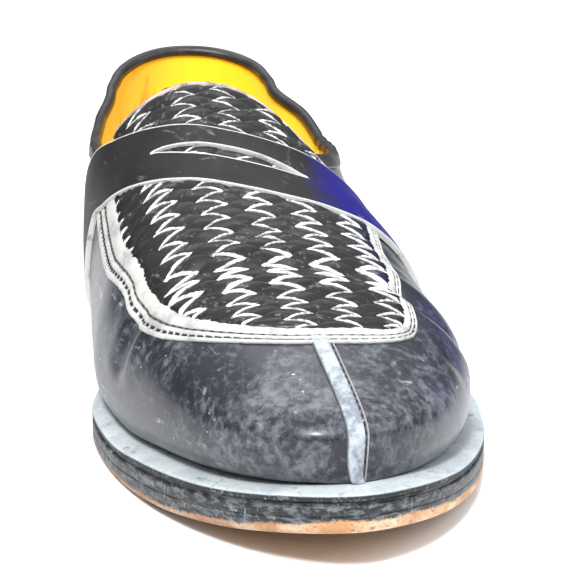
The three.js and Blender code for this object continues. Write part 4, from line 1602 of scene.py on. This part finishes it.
@dataclass
class Upper:
    """Vamp and quarters, lining, bound collar, seam band and toe strip."""

    shop: Workshop
    wall: float = 2.2
    throat_tuck: float = 5.0
    binding_depth: float = 4.5
    binding_proud: float = 0.55
    strip_half: float = 2.4
    strip_place: Rows = Rows((0, 1.6), (3.1, 4.7))
    strip_span: tuple[float, float] = (1.605, 0.0)
    strip_mark: float = 3.9
    strip_pitch: float = 2.4
    stitch_pitch: float = 3.0
    around: int = 520
    rise: int = 111

    def height_share(self, w: Array, lower: float = 0.0) -> Array:
        """Share q where the wall meets the collar line, lowered by a depth, by bisection.

        Args:
            w: Places around.
            lower: How far the line is lowered.

        Returns:
            q for each place.
        """

        def above(q: Array) -> Array:
            """Whether the skin at q lies above the line."""
            point = LAST.skin(w, q)
            return point[..., 2] > PATTERN.collar(point[..., 0], point[..., 1]) - lower

        return sum(bisect(np.full(w.shape, 0.3), np.full(w.shape, 1.995), above)) / 2

    def ends(self, w: Array) -> Array:
        """Share q where each column of the wall ends: the first place inside the throat.

        The throat is above the collar line and behind a line that runs a tuck ahead of the
        saddle's rear edge; a column that never enters it goes on to the ridge.

        Args:
            w: Places around.

        Returns:
            q for each place.
        """
        steps = np.linspace(0.4, 2.0, 500)
        points = LAST.skin(w[:, None], steps[None, :])
        x, s, z = points[..., 0], points[..., 1], points[..., 2]
        open_here = (z > PATTERN.collar(x, s)) & (s < PATTERN.saddle_rear(x) + self.throat_tuck)
        rough = steps[np.argmax(open_here, axis=1)]
        by_collar = self.height_share(w)
        exact = np.where(np.abs(by_collar - rough) < 0.01, by_collar, rough)
        return np.where(open_here.any(axis=1), exact, 2.0)

    def shell(self, leather: Material, lining: Material) -> Thing:
        """Outer wall and lining, each a grid of places around by shares of the way up.

        Both start from a ring on the welt, and a strip closes them along the throat.

        Args:
            leather: Finish of the outside.
            lining: Finish of the inside.

        Returns:
            The upper.
        """
        w = np.linspace(-3, 3, self.around + 1)
        q = self.ends(w)[None, :] * np.linspace(0, 1, self.rise)[:, None] ** 0.92
        tuck = ring(w, LAST.shelf(w) + self.wall, LAST.feather, 0.1)
        foot = ring(w, LAST.shelf(w), LAST.feather, 0.02)
        outer = np.concatenate([[tuck, foot], LAST.wall(w[None, :], q)])
        inner = np.concatenate([[tuck], LAST.wall(w[None, :], q[::2], -self.wall)])
        rim = np.stack([outer[-1], inner[-1]])[:, np.flatnonzero(q[-1] < 2.0)]
        patches = [Patch(outer), Patch(inner, facing=Facing.IN, finish=1), Patch(rim)]
        return self.shop.piece("upper_shell", patches, [leather, lining], "black_leather", "upper")

    def collar_places(self, count: int) -> Array:
        """Places of the bound edge, from under the saddle round the heel to under it again."""
        limits = []
        for side in (-1.0, 1.0):
            w = side * np.linspace(1.3, 1.8, 600)
            point = LAST.skin(w, self.height_share(w))
            under = point[:, 1] > PATTERN.saddle_rear(point[:, 0]) + 3.0
            limits.append(float(w[np.argmax(under)]) if under.any() else float(w[-1]))
        return np.linspace(limits[0], limits[1], count)

    def binding(self, finish: Material) -> Thing:
        """Binding rolled over the collar: down the outside, over the edge and down the lining.

        Each section is a closed loop of points given by how far below the edge they lie and how
        far outside the skin; the top of the roll stands above the edge.

        Args:
            finish: Its material.

        Returns:
            The binding.
        """
        w = self.collar_places(260)
        depth, proud, wall = self.binding_depth, self.binding_proud, self.wall
        section = (
            (depth, 0.02), (depth - 0.15, proud * 0.8), (depth - 0.6, proud), (depth * 0.5, proud),
            (0.9, proud), (0.2, proud * 0.7), (-0.35, -0.1), (-0.55, -wall / 2), (-0.35, -wall + 0.1),
            (0.3, -wall - 0.6), (1.2, -wall - 0.95), (2.6, -wall - 0.9), (3.0, -wall + 0.3),
            (2.0, -wall / 2), (depth - 0.3, -0.4), (depth, 0.02),
        )
        loops = [LAST.wall(w, self.height_share(w, max(lower, 0.0)), offset) for lower, offset in section]
        grid = np.stack(loops)
        grid[..., 2] += np.array([max(-lower, 0.0) for lower, _ in section])[:, None] * 1.4
        return self.shop.loose("collar_binding", grid[None], finish, "black_leather")

    def band(self, finish: Material, thread: Material) -> None:
        """Seam band round the apron, with its two grooves and the stitches in them.

        The band's section is carried along the apron's outline: distance inward from the outline
        and height over the form. A row of stitches is an inset, a lift and a bead's size.

        Args:
            finish: Material of the band.
            thread: Material of the stitches.
        """
        line = PATTERN.outline(520)
        inward = plan_inward(line)
        run = runs(line, 0)
        section = (
            (0.35, -0.5), (0.0, 0.1), (0.05, 0.6), (0.35, 0.9), (0.8, 0.85), (1.1, 0.35), (1.4, 0.35),
            (1.75, 0.95), (2.2, 1.1), (2.55, 0.75), (2.95, 0.75), (3.3, 1.25), (4.2, 1.45), (5.1, 1.4),
            (5.7, 1.1), (5.95, 0.6), (5.9, -0.5), (0.35, -0.5),
        )
        narrow = PATTERN.narrowing(line[:, 0])
        wobble = 0.12 * np.sin(run * 1.7) + 0.1 * np.sin(run * 0.61 + 1.0)
        rows = []
        for inset, lift in section:
            shift = wobble * (1.0 if inset > 3.5 else 0.25)
            plan = line + inward * ((inset + shift) * narrow)[:, None]
            rows.append(LAST.over(plan[:, 0], plan[:, 1], lift))
        grid = np.stack(rows)
        measures = pair(run, np.array(section)[:, :1], grid.shape)
        self.shop.piece("apron_seam_band", [Patch(grid, measures, Facing.CLOSED)], [finish], "black_leather")
        stitches = []
        for inset, lift, size in ((1.25, 0.5, (1.9, 0.55, 0.5)), (2.75, 0.85, (1.5, 0.4, 0.5))):
            spots = even(line + inward * (inset * narrow)[:, None], int(run[-1] / self.stitch_pitch))
            spots = spots[spots[:, 1] > PATTERN.saddle_front(spots[:, 0]) - 1.5]
            points = LAST.over(spots[:, 0], spots[:, 1], lift)
            outer = LAST.over(spots[:, 0], spots[:, 1], lift + 1.0)
            stitches.append(beads(points, np.gradient(points, axis=0), outer - points, size))
        self.shop.loose("apron_stitches", np.concatenate(stitches), thread, "black_leather")

    def toe_point(self, q: Array, out: Array, lift: Array) -> Array:
        """Point on the toe's middle line, a distance out to one side of it.

        On the superellipse the distance is half width * rho * cosine^(2 / power), so the cosine is
        the distance's share to the power of half the power.

        Args:
            q: Shares of the way up.
            out: Distances across, lateral positive.
            lift: Distances outside the form.

        Returns:
            Points x, s, z.
        """
        side = np.where(out >= 0, 1.0, -1.0)
        power = np.where(side > 0, *LAST.upper.toe_power)
        half = LAST.upper.half(side, np.full_like(out, LAST.upper.toe_start))
        cosine = (np.abs(out) / (half * LAST.closing(q))) ** (power / 2)
        w = side * (2 + np.arccos(np.clip(cosine, 0, 1)) / (math.pi / 2))
        return LAST.wall(w, q, lift)

    def toe_strip(self, finish: Material, thread: Material) -> None:
        """Raised strip down the middle of the toe, with a fine bead beside it.

        Args:
            finish: Material of the strip.
            thread: Material of its stitches.
        """
        q = np.linspace(*self.strip_span, 90)[:, None]
        half = self.strip_half
        strip = (
            (-half - 0.1, -0.3), (-half - 0.05, 0.25), (-half + 0.2, 0.75), (-half * 0.5, 0.95),
            (0.0, 1.0), (half * 0.5, 0.95), (half - 0.35, 0.8), (half - 0.05, 0.3),
            (half + 0.1, -0.3), (-half - 0.1, -0.3),
        )
        bead = (
            (half + 0.6, -0.3), (half + 0.65, 0.15), (half + 0.8, 0.4), (half + 1.0, 0.38),
            (half + 1.15, 0.15), (half + 1.2, -0.3), (half + 0.6, -0.3),
        )
        patches = []
        for profile, spread in ((strip, 0.5), (bead, 0.0)):
            out, lift = np.array(profile).T
            flare = 1 + spread * ease(0.35 - q, 0.0, 0.35)
            grid = self.toe_point(q + 0 * out, out * flare + self.strip_place(q), lift * ease(q, -0.08, 0.1))
            measures = pair(runs(grid, 0)[:, :1], np.abs(out) + self.strip_mark, grid.shape)
            patches.append(Patch(grid, measures, Facing.CLOSED))
        self.shop.piece("toe_strip", patches, [finish], "black_leather")
        down = np.linspace(1.58, 0.12, 200)
        centre = self.toe_point(down, self.strip_place(down) + half + 0.3, np.full(200, 0.2))
        spots = even(centre, int(runs(centre, 0)[-1] / self.strip_pitch))
        stitches = beads(spots, np.gradient(spots, axis=0), spots - LAST.core(spots), (1.5, 0.45, 0.5))
        self.shop.loose("toe_strip_stitches", stitches, thread, "black_leather")


@dataclass
class Weave:
    """Diagonal plain weave of flat strips over the apron and the tongue.

    Crossings stand on a lattice a, b: x = across * a, and b counts half periods along the shoe.
    Strips of one family keep a - b, those of the other keep a + b. Where a strip is covered it
    lies sunk and pressed; in the slot and on the tongue it rises by a share. The section is
    given outward and upward in half widths and thicknesses, with a mark for each point.
    """

    shop: Workshop
    start: float = -0.9
    across: float = 6.65
    along: Rows = Rows((115, 165, 190, 205, 225, 255), (2.8, 3.4, 3.7, 3.7, 3.0, 2.8))
    crossing: float = 203.2
    half_width: float = 0.9
    thickness: float = 1.0
    swing: float = 0.62
    middle: float = 0.55
    sunk: float = 1.2
    pressed: float = 0.45
    slot_share: float = 0.78
    tongue_share: float = 0.9
    step: float = 0.16
    reach: float = 62.0
    numbers: int = 34
    x_span: tuple[float, float] = (-54.0, 42.0)
    tongue_span: tuple[float, float] = (-38.0, 30.0)
    section: tuple[tuple[float, float], ...] = (
        (-1.0, -0.5), (-1.02, 0.0), (-0.99, 0.34), (-0.9, 0.47), (-0.6, 0.53), (0.0, 0.58),
        (0.6, 0.53), (0.9, 0.47), (0.99, 0.34), (1.02, 0.0), (1.0, -0.5), (-1.0, -0.5),
    )
    marks: tuple[float, ...] = (0.0, 0.08, 0.14, 0.18, 0.3, 0.5, 0.7, 0.82, 0.86, 0.92, 1.0, 1.0)

    def __post_init__(self) -> None:
        """Works out the lattice's count along the shoe: the sum of ds over the half period."""
        self.stations = np.linspace(105, 275, 1200)
        rate = 1.0 / self.along(self.stations)
        count = np.concatenate([[0], np.cumsum((rate[1:] + rate[:-1]) / 2 * np.diff(self.stations))])
        at_crossing = float(np.interp(self.crossing, self.stations, count))
        self.count = count + 2 * round((at_crossing - 1) / 2) + 1 - at_crossing

    def shown(self, x: Array, s: Array) -> Array:
        """How far the strips are exposed at a plan point: 1 in the open, 0 under what covers them.

        Args:
            x: Across the shoe.
            s: Along it.

        Returns:
            Shares from 0 to 1.
        """
        ahead = ease(s - PATTERN.saddle_front(x), -1.6, -0.6)
        apron = ahead * ease(PATTERN.depth(x, s) / PATTERN.narrowing(x), 4.4, 6.2)
        in_slot = np.minimum(s - PATTERN.slot_rear(x), PATTERN.slot_front(x) - s)
        beside = np.minimum(x - PATTERN.slot_span[0], PATTERN.slot_span[1] - x)
        slot = ease(np.minimum(in_slot, beside), -2.2, -1.0) * self.slot_share
        behind = ease(PATTERN.saddle_rear(x) - s, -1.6, -0.6)
        tongue = behind * ease(s - PATTERN.tongue_tip(x), 0.2, 1.8) * self.tongue_share
        inside = (x > self.tongue_span[0]) & (x < self.tongue_span[1])
        inside = inside & (LAST.height(x, s) > PATTERN.collar(x, s) - 2)
        return np.maximum(np.maximum(apron, slot), tongue * inside)

    def strip(self, family: int, number: int, rng: np.random.Generator) -> Patch | None:
        """One strip: its section carried along it, rising over and diving under the others.

        Its middle stands at swing * cos(pi * (number + c / 2)) over its base, c being the count
        along it, with the sign of its family.

        Args:
            family: 1 for strips that keep a - b, -1 for those that keep a + b.
            number: Which strip.
            rng: Source of small irregularities.

        Returns:
            The strip, or nothing where it is never exposed.
        """
        width = self.half_width * (1 + rng.uniform(-0.06, 0.05))
        shift = rng.uniform(-0.05, 0.05)
        tilt = rng.uniform(-0.08, 0.08)
        out, up = np.array(self.section).T
        marks = 1.0 - np.array(self.marks) if family > 0 else np.array(self.marks)
        c = np.arange(-self.reach, self.reach, self.step)[:, None]
        d = out[None, :] * width + shift
        first, second = (c, 2 * number + d) if family > 0 else (2 * number + d, c)
        a, b = (first + second) / 2, (first - second) / 2
        x = self.start + a * self.across
        inside = (b > self.count[0]) & (b < self.count[-1]) & (x > self.x_span[0]) & (x < self.x_span[1])
        s = np.interp(b, self.count, self.stations)
        keep = inside.all(axis=1)
        if not keep.any():
            return None
        rows = np.arange(np.argmax(keep), len(keep) - np.argmax(keep[::-1]))
        x, s, c = x[rows], s[rows], c[rows]
        shown = self.shown(x, s)
        open_rows = np.flatnonzero((shown > 0.02).any(axis=1))
        if len(open_rows) < 4:
            return None
        span = slice(max(open_rows[0] - 2, 0), open_rows[-1] + 3)
        x, s, c, shown = x[span], s[span], c[span], shown[span]
        wave = family * self.swing * np.cos(math.pi * (number + c / 2))
        lift = self.middle + wave + up[None, :] * self.thickness + tilt * d
        lift = lift * (self.pressed + (1 - self.pressed) * shown) - (1 - shown) * self.sunk
        return Patch(LAST.over(x, s, lift), pair(s, marks, x.shape), Facing.CLOSED)

    def build(self, finish: Material) -> Thing:
        """All strips of both families.

        Args:
            finish: Their material.

        Returns:
            The woven panel.
        """
        rng = np.random.default_rng(11)
        numbers = range(-self.numbers, self.numbers + 1)
        strips = [self.strip(family, number, rng) for family in (1, -1) for number in numbers]
        patches = [strip for strip in strips if strip is not None]
        log.info("weave: %d strips", len(patches))
        return self.shop.piece("woven_strips", patches, [finish], "woven_leather", "tongue")


@dataclass
class Tongue:
    """Backing of the woven tongue and the piping along its edge."""

    shop: Workshop
    span: tuple[float, float] = (-37.0, 29.0)
    piping: float = 0.95
    piping_rise: float = 1.25

    def backing(self, finish: Material, lining: Material) -> Thing:
        """Thin sheet under the strips, from the tongue's tip to under the saddle.

        Args:
            finish: Finish of its upper face.
            lining: Finish of its lower face.

        Returns:
            The sheet.
        """
        x = np.linspace(*self.span, 70)[None, :]
        low, high = PATTERN.tongue_tip(x), PATTERN.saddle_rear(x) + 7.0

        def under(s: Array) -> Array:
            """Whether the form lies below the collar's line."""
            return LAST.height(x, s) <= PATTERN.collar(x, s) + 0.4

        end = np.maximum(np.minimum(high, bisect(low, high, under)[0]), low + 0.4)
        s = low + (end - low) * np.linspace(0, 1, 40)[:, None]
        top, bottom = LAST.over(x, s, -0.5), LAST.over(x, s, -2.1)
        edge = np.stack([top[0], bottom[0]])
        patches = [Patch(top), Patch(bottom, facing=Facing.IN, finish=1), Patch(edge, finish=1)]
        return self.shop.piece("tongue_backing", patches, [finish, lining], "woven_leather")

    def edge(self, finish: Material, thread: Material) -> None:
        """Round piping carried along the tongue's tip, with fine stitches ahead of it.

        Args:
            finish: Material of the piping.
            thread: Material of the stitches.
        """
        x = np.linspace(*self.span, 200)
        line = even(np.stack([x, PATTERN.tongue_tip(x)], axis=-1), 220)
        base = LAST.over(line[:, 0], line[:, 1], -0.3)
        up = LAST.over(line[:, 0], line[:, 1], 0.7) - base
        out = np.cross(unit(np.gradient(base, axis=0)), up)
        turn = np.linspace(0, 2 * math.pi, 13)[:, None, None]
        tube = base + out * np.cos(turn) * self.piping + up * (np.sin(turn) * self.piping_rise)
        self.shop.loose("tongue_piping", tube[None], finish, "woven_leather")
        row = even(line + np.array([0.0, 1.9]), 40)
        spots = LAST.over(row[:, 0], row[:, 1], 0.75)
        ups = LAST.over(row[:, 0], row[:, 1], 1.75) - spots
        stitches = beads(spots, np.gradient(spots, axis=0), ups, (1.3, 0.45, 0.5))
        self.shop.loose("tongue_stitches", stitches, thread, "woven_leather")


@dataclass
class Saddle:
    """The strap over the instep with its crescent slot."""

    shop: Workshop
    lift: float = 2.3
    thickness: float = 1.7
    columns: int = 190
    rows: int = 14
    foot: float = 1.97
    slot_corner: float = 2.5
    softened: float = 0.35

    def seam(self, x: Array, ahead: bool) -> Array:
        """Line on which the rear and front halves meet: the slot's edges, and a middle beyond them.

        Args:
            x: Across the shoe.
            ahead: Whether the slot's front edge is asked for.

        Returns:
            Stations.
        """
        rear, front = PATTERN.slot_rear(x), PATTERN.slot_front(x)
        middle = (rear + front) / 2
        inside = np.minimum(x - PATTERN.slot_span[0], PATTERN.slot_span[1] - x)
        opening = np.sqrt(np.clip(inside / self.slot_corner, 0, 1))
        line = middle + ((front if ahead else rear) - middle) * opening
        share = ease(-inside, 0, 14)
        return line * (1 - share) + (PATTERN.saddle_rear(x) + PATTERN.saddle_front(x)) / 2 * share

    def half(self, ahead: bool) -> Patch:
        """One half of the strap, rear or front of the slot.

        A place across it is e, from -2 at the medial foot over 0 at the ridge to 2 at the lateral
        foot. At each e the place around the form is found by bisection, so that the point's
        station is the wanted share of the way between the two edges at its own x.

        Args:
            ahead: Whether it is the front half.

        Returns:
            The half.
        """
        e = np.linspace(-self.foot, self.foot, self.columns)[None, :]
        t = np.linspace(0, 1, self.rows)[:, None]
        side = np.where(e >= 0, 1.0, -1.0)
        shape = (self.rows, self.columns)
        q = np.broadcast_to(2 - np.abs(e), shape)

        def past(w: Array) -> Array:
            """Whether a place lies ahead of the share t between this half's edges."""
            point = LAST.skin(side * w, q)
            x = point[..., 0]
            seam = self.seam(x, ahead)
            rear = seam if ahead else PATTERN.saddle_rear(x)
            front = PATTERN.saddle_front(x) if ahead else seam
            return point[..., 1] > rear + (front - rear) * t

        w = side * sum(bisect(np.full(shape, 1.3), np.full(shape, 1.998), past)) / 2
        base = LAST.skin(w, q)
        x, s = base[..., 0], base[..., 1]
        over_weave = ease(PATTERN.depth(x, s), -2.0, 7.0)
        lift = self.lift - 0.6 * (1 - over_weave) * ease(np.abs(e), 0.2, 0.9)
        by_slot = (x > PATTERN.slot_span[0] - 1) & (x < PATTERN.slot_span[1] + 1)
        slot_gap = np.where(by_slot, np.minimum(np.abs(s - self.seam(x, ahead)), 9.0), 9.0)
        gaps = (s - PATTERN.saddle_rear(x) + 0.15, (PATTERN.saddle_front(x) - s) * 0.8, slot_gap)
        return Patch(LAST.wall(w, q, lift), pair(np.minimum.reduce(gaps), s, shape))

    def build(self, finish: Material, edge: Material) -> Thing:
        """The strap, thickened inward, its cut edges in their own finish and softly rounded.

        Args:
            finish: Finish of the leather.
            edge: Finish of the cut edges.

        Returns:
            The saddle.
        """
        halves = [self.half(False), self.half(True)]
        strap = self.shop.piece("saddle_strap", halves, [finish, edge], "saddle_leather", "saddle")
        wall = strap.modifiers.new("thickness", "SOLIDIFY")
        wall.thickness = self.thickness * MM
        wall.offset = -1.0
        wall.material_offset_rim = 1
        wall.use_even_offset = True
        soften = strap.modifiers.new("edges", "BEVEL")
        soften.width = self.softened * MM
        soften.segments = 2
        soften.limit_method = "ANGLE"
        soften.angle_limit = math.radians(55)
        return strap


@dataclass(frozen=True)
class PhotoView:
    """Where the photograph was taken from, in the shoe's own millimetres.

    Attributes:
        spot: x, then distance ahead of the shoe's middle as negative y, then z.
        azimuth, elevation, roll: Its direction in degrees.
        focal: Focal length in pixels of the photograph.
        aim: Pixel of the photograph that the new view is centred on.
        reach: Half the width of the new view, in pixels of the photograph.
        sensor: Width of the camera's sensor in millimetres.
    """

    spot: Colour = (-104.4, -587.5, 201.5)
    azimuth: float = -4.81
    elevation: float = 14.93
    roll: float = -1.77
    focal: float = 1196.0
    aim: tuple[float, float] = (421.5, 305.0)
    reach: float = 178.0
    sensor: float = 36.0

    def camera(self, shift: float) -> Thing:
        """The same camera turned to look at the shoe and zoomed so that it fills the frame.

        The ray through the aimed pixel becomes the view's middle; the zoom keeps the reach.

        Args:
            shift: Place of the shoe's own middle in the model, across, in millimetres.

        Returns:
            The camera.
        """
        a, e, r = (math.radians(v) for v in (self.azimuth, self.elevation, self.roll))
        ahead = -Vector((math.sin(a) * math.cos(e), -math.cos(a) * math.cos(e), math.sin(e)))
        right = ahead.cross(Vector((0, 0, 1))).normalized()
        up = right.cross(ahead)
        right, up = math.cos(r) * right + math.sin(r) * up, -math.sin(r) * right + math.cos(r) * up
        x, y = ((pixel - PHOTO_SIZE / 2) / self.focal for pixel in self.aim)
        ray = (ahead + right * x - up * y).normalized()
        side = (right - ray * right.dot(ray)).normalized()
        half = math.atan(self.reach * ray.dot(ahead) ** 1.5 / self.focal)
        lens = bpy.data.cameras.new("photo_view")
        lens.sensor_width = self.sensor
        lens.lens = self.sensor / 2 / math.tan(half)
        lens.clip_start, lens.clip_end = 0.01, 20.0
        camera = link("photo_view", lens)
        turn = Matrix((side, side.cross(ray), -ray)).transposed().to_4x4()
        spot = Vector((self.spot[0] + shift, *self.spot[1:])) * MM
        camera.matrix_world = Matrix.Translation(spot) @ turn
        bpy.context.scene.camera = camera
        return camera


@dataclass(frozen=True)
class Softbox:
    """An area light that looks at a point, sizes in metres and power in watts."""

    name: str
    place: Colour
    target: Colour
    size: tuple[float, float]
    power: float
    tint: Colour = (1.0, 1.0, 1.0)

    def light(self) -> Thing:
        """The light, turned to its target."""
        data = bpy.data.lights.new(self.name, "AREA")
        data.shape = "RECTANGLE"
        data.size, data.size_y = self.size
        data.energy = self.power
        data.color = self.tint
        thing = link(self.name, data)
        thing.location = self.place
        thing.rotation_mode = "QUATERNION"
        thing.rotation_quaternion = (Vector(self.target) - Vector(self.place)).to_track_quat("-Z", "Y")
        return thing


@dataclass(frozen=True)
class Studio:
    """Pale floor, pale surroundings and soft light.

    The sky's four numbers are the heights of direction between which it brightens and the
    strengths below and above them.
    """

    lights: tuple[Softbox, ...] = (
        Softbox("key", (-0.35, -0.75, 1.15), (0, -0.02, 0.04), (0.6, 0.6), 9.0),
        Softbox("glint", (-0.28, -0.8, 0.95), (0, -0.1, 0.03), (0.16, 0.16), 13.0),
        Softbox("fill", (0.9, -0.5, 0.7), (0, 0, 0.04), (0.8, 0.8), 6.0, (0.93, 0.96, 1.0)),
        Softbox("rear", (0.1, 0.7, 1.2), (0, 0.02, 0.05), (0.9, 0.5), 4.0),
    )
    sky: tuple[float, float, float, float] = (0.2, 0.75, 0.14, 1.1)
    sky_tone: Colour = (0.96, 0.98, 1.0)
    floor_reach: float = 12.0
    floor_tones: tuple[Colour, Colour] = ((0.86, 0.86, 0.86), (0.9, 0.9, 0.9))

    def floor(self) -> Thing:
        """A wide pale floor under the shoe.

        Returns:
            The floor.
        """
        line = np.linspace(-self.floor_reach, self.floor_reach, 5)
        x, y = np.meshgrid(line, line)
        vertices = np.stack([x, y, np.zeros_like(x)], axis=-1).reshape(-1, 3)
        mesh = bpy.data.meshes.new("floor")
        mesh.from_pydata(vertices.tolist(), [], grid_faces(*x.shape)[:, ::-1].tolist())
        g = Graph("pale_floor", {"Roughness": 0.9, "Specular IOR Level": 0.1})
        g.feed(Base_Color=g.blend(g.noise(6, 2), *self.floor_tones))
        mesh.materials.append(g.material)
        thing = link("floor", mesh)
        return thing

    def build(self) -> None:
        """Floor, world and lights; the world is brighter toward the zenith."""
        self.floor()
        world = bpy.data.worlds.new("studio")
        world.use_nodes = True
        nodes = Nodes(world.node_tree, "Background")
        rise = nodes.axes("ShaderNodeTexCoord", "Generated")[2]
        nodes.feed(Color=(*self.sky_tone, 1.0), Strength=nodes.step(rise, *self.sky))
        bpy.context.scene.world = world
        for box in self.lights:
            box.light()
        bpy.context.scene.view_settings.view_transform = "Standard"


def main() -> None:
    """Builds the shoe piece by piece, then the studio and the camera."""
    logging.basicConfig(level=logging.INFO, format="%(name)s %(message)s")
    shop = Workshop()
    calf = BlackLeather().material()
    strip = StripLeather().material()
    band = RawBand().material()
    cut = CutEdge().material()
    lining = Lining().material()
    thread = PlainFinish("dark_thread", (0.008, 0.008, 0.01), (0.05, 0.05, 0.055), 0.7, 2500).material()
    piping = PlainFinish("tongue_piping", (0.5, 0.4, 0.42), (0.09, 0.08, 0.085), 0.6, 1400).material()
    bound = PlainFinish("collar_binding", (0.006, 0.006, 0.007), (0.035, 0.035, 0.037), 0.3, 1100).material()
    backing = PlainFinish("weave_backing", (0.01, 0.01, 0.01), (0.03, 0.03, 0.03), 0.7, 900).material()

    sole = Sole(shop)
    sole.outsole(SoleEdge().material(), SoleBottom().material())
    sole.welt(WeltLeather().material())
    sole.heel(PlainFinish("stacked_heel", (0.02, 0.018, 0.017), (0.11, 0.08, 0.06), 0.45, 700).material())
    sole.top_lift(PlainFinish("heel_rubber", (0.02, 0.02, 0.02), (0.08, 0.075, 0.07), 0.7, 500).material())
    sole.nails(PlainFinish("nail_steel", (0.5, 0.5, 0.5), (0.2, 0.18, 0.16), 0.4, 1800, 1.0).material())
    sole.sock(lining)

    upper = Upper(shop)
    upper.shell(calf, lining)
    upper.binding(bound)
    upper.band(band, thread)
    upper.toe_strip(StripBand().material(), thread)

    Weave(shop).build(strip)
    tongue = Tongue(shop)
    tongue.backing(backing, lining)
    tongue.edge(piping, thread)
    Saddle(shop).build(SaddleLeather().material(), cut)

    Studio().build()
    PhotoView().camera(shop.shift)


if __name__ == "__main__":
    main()
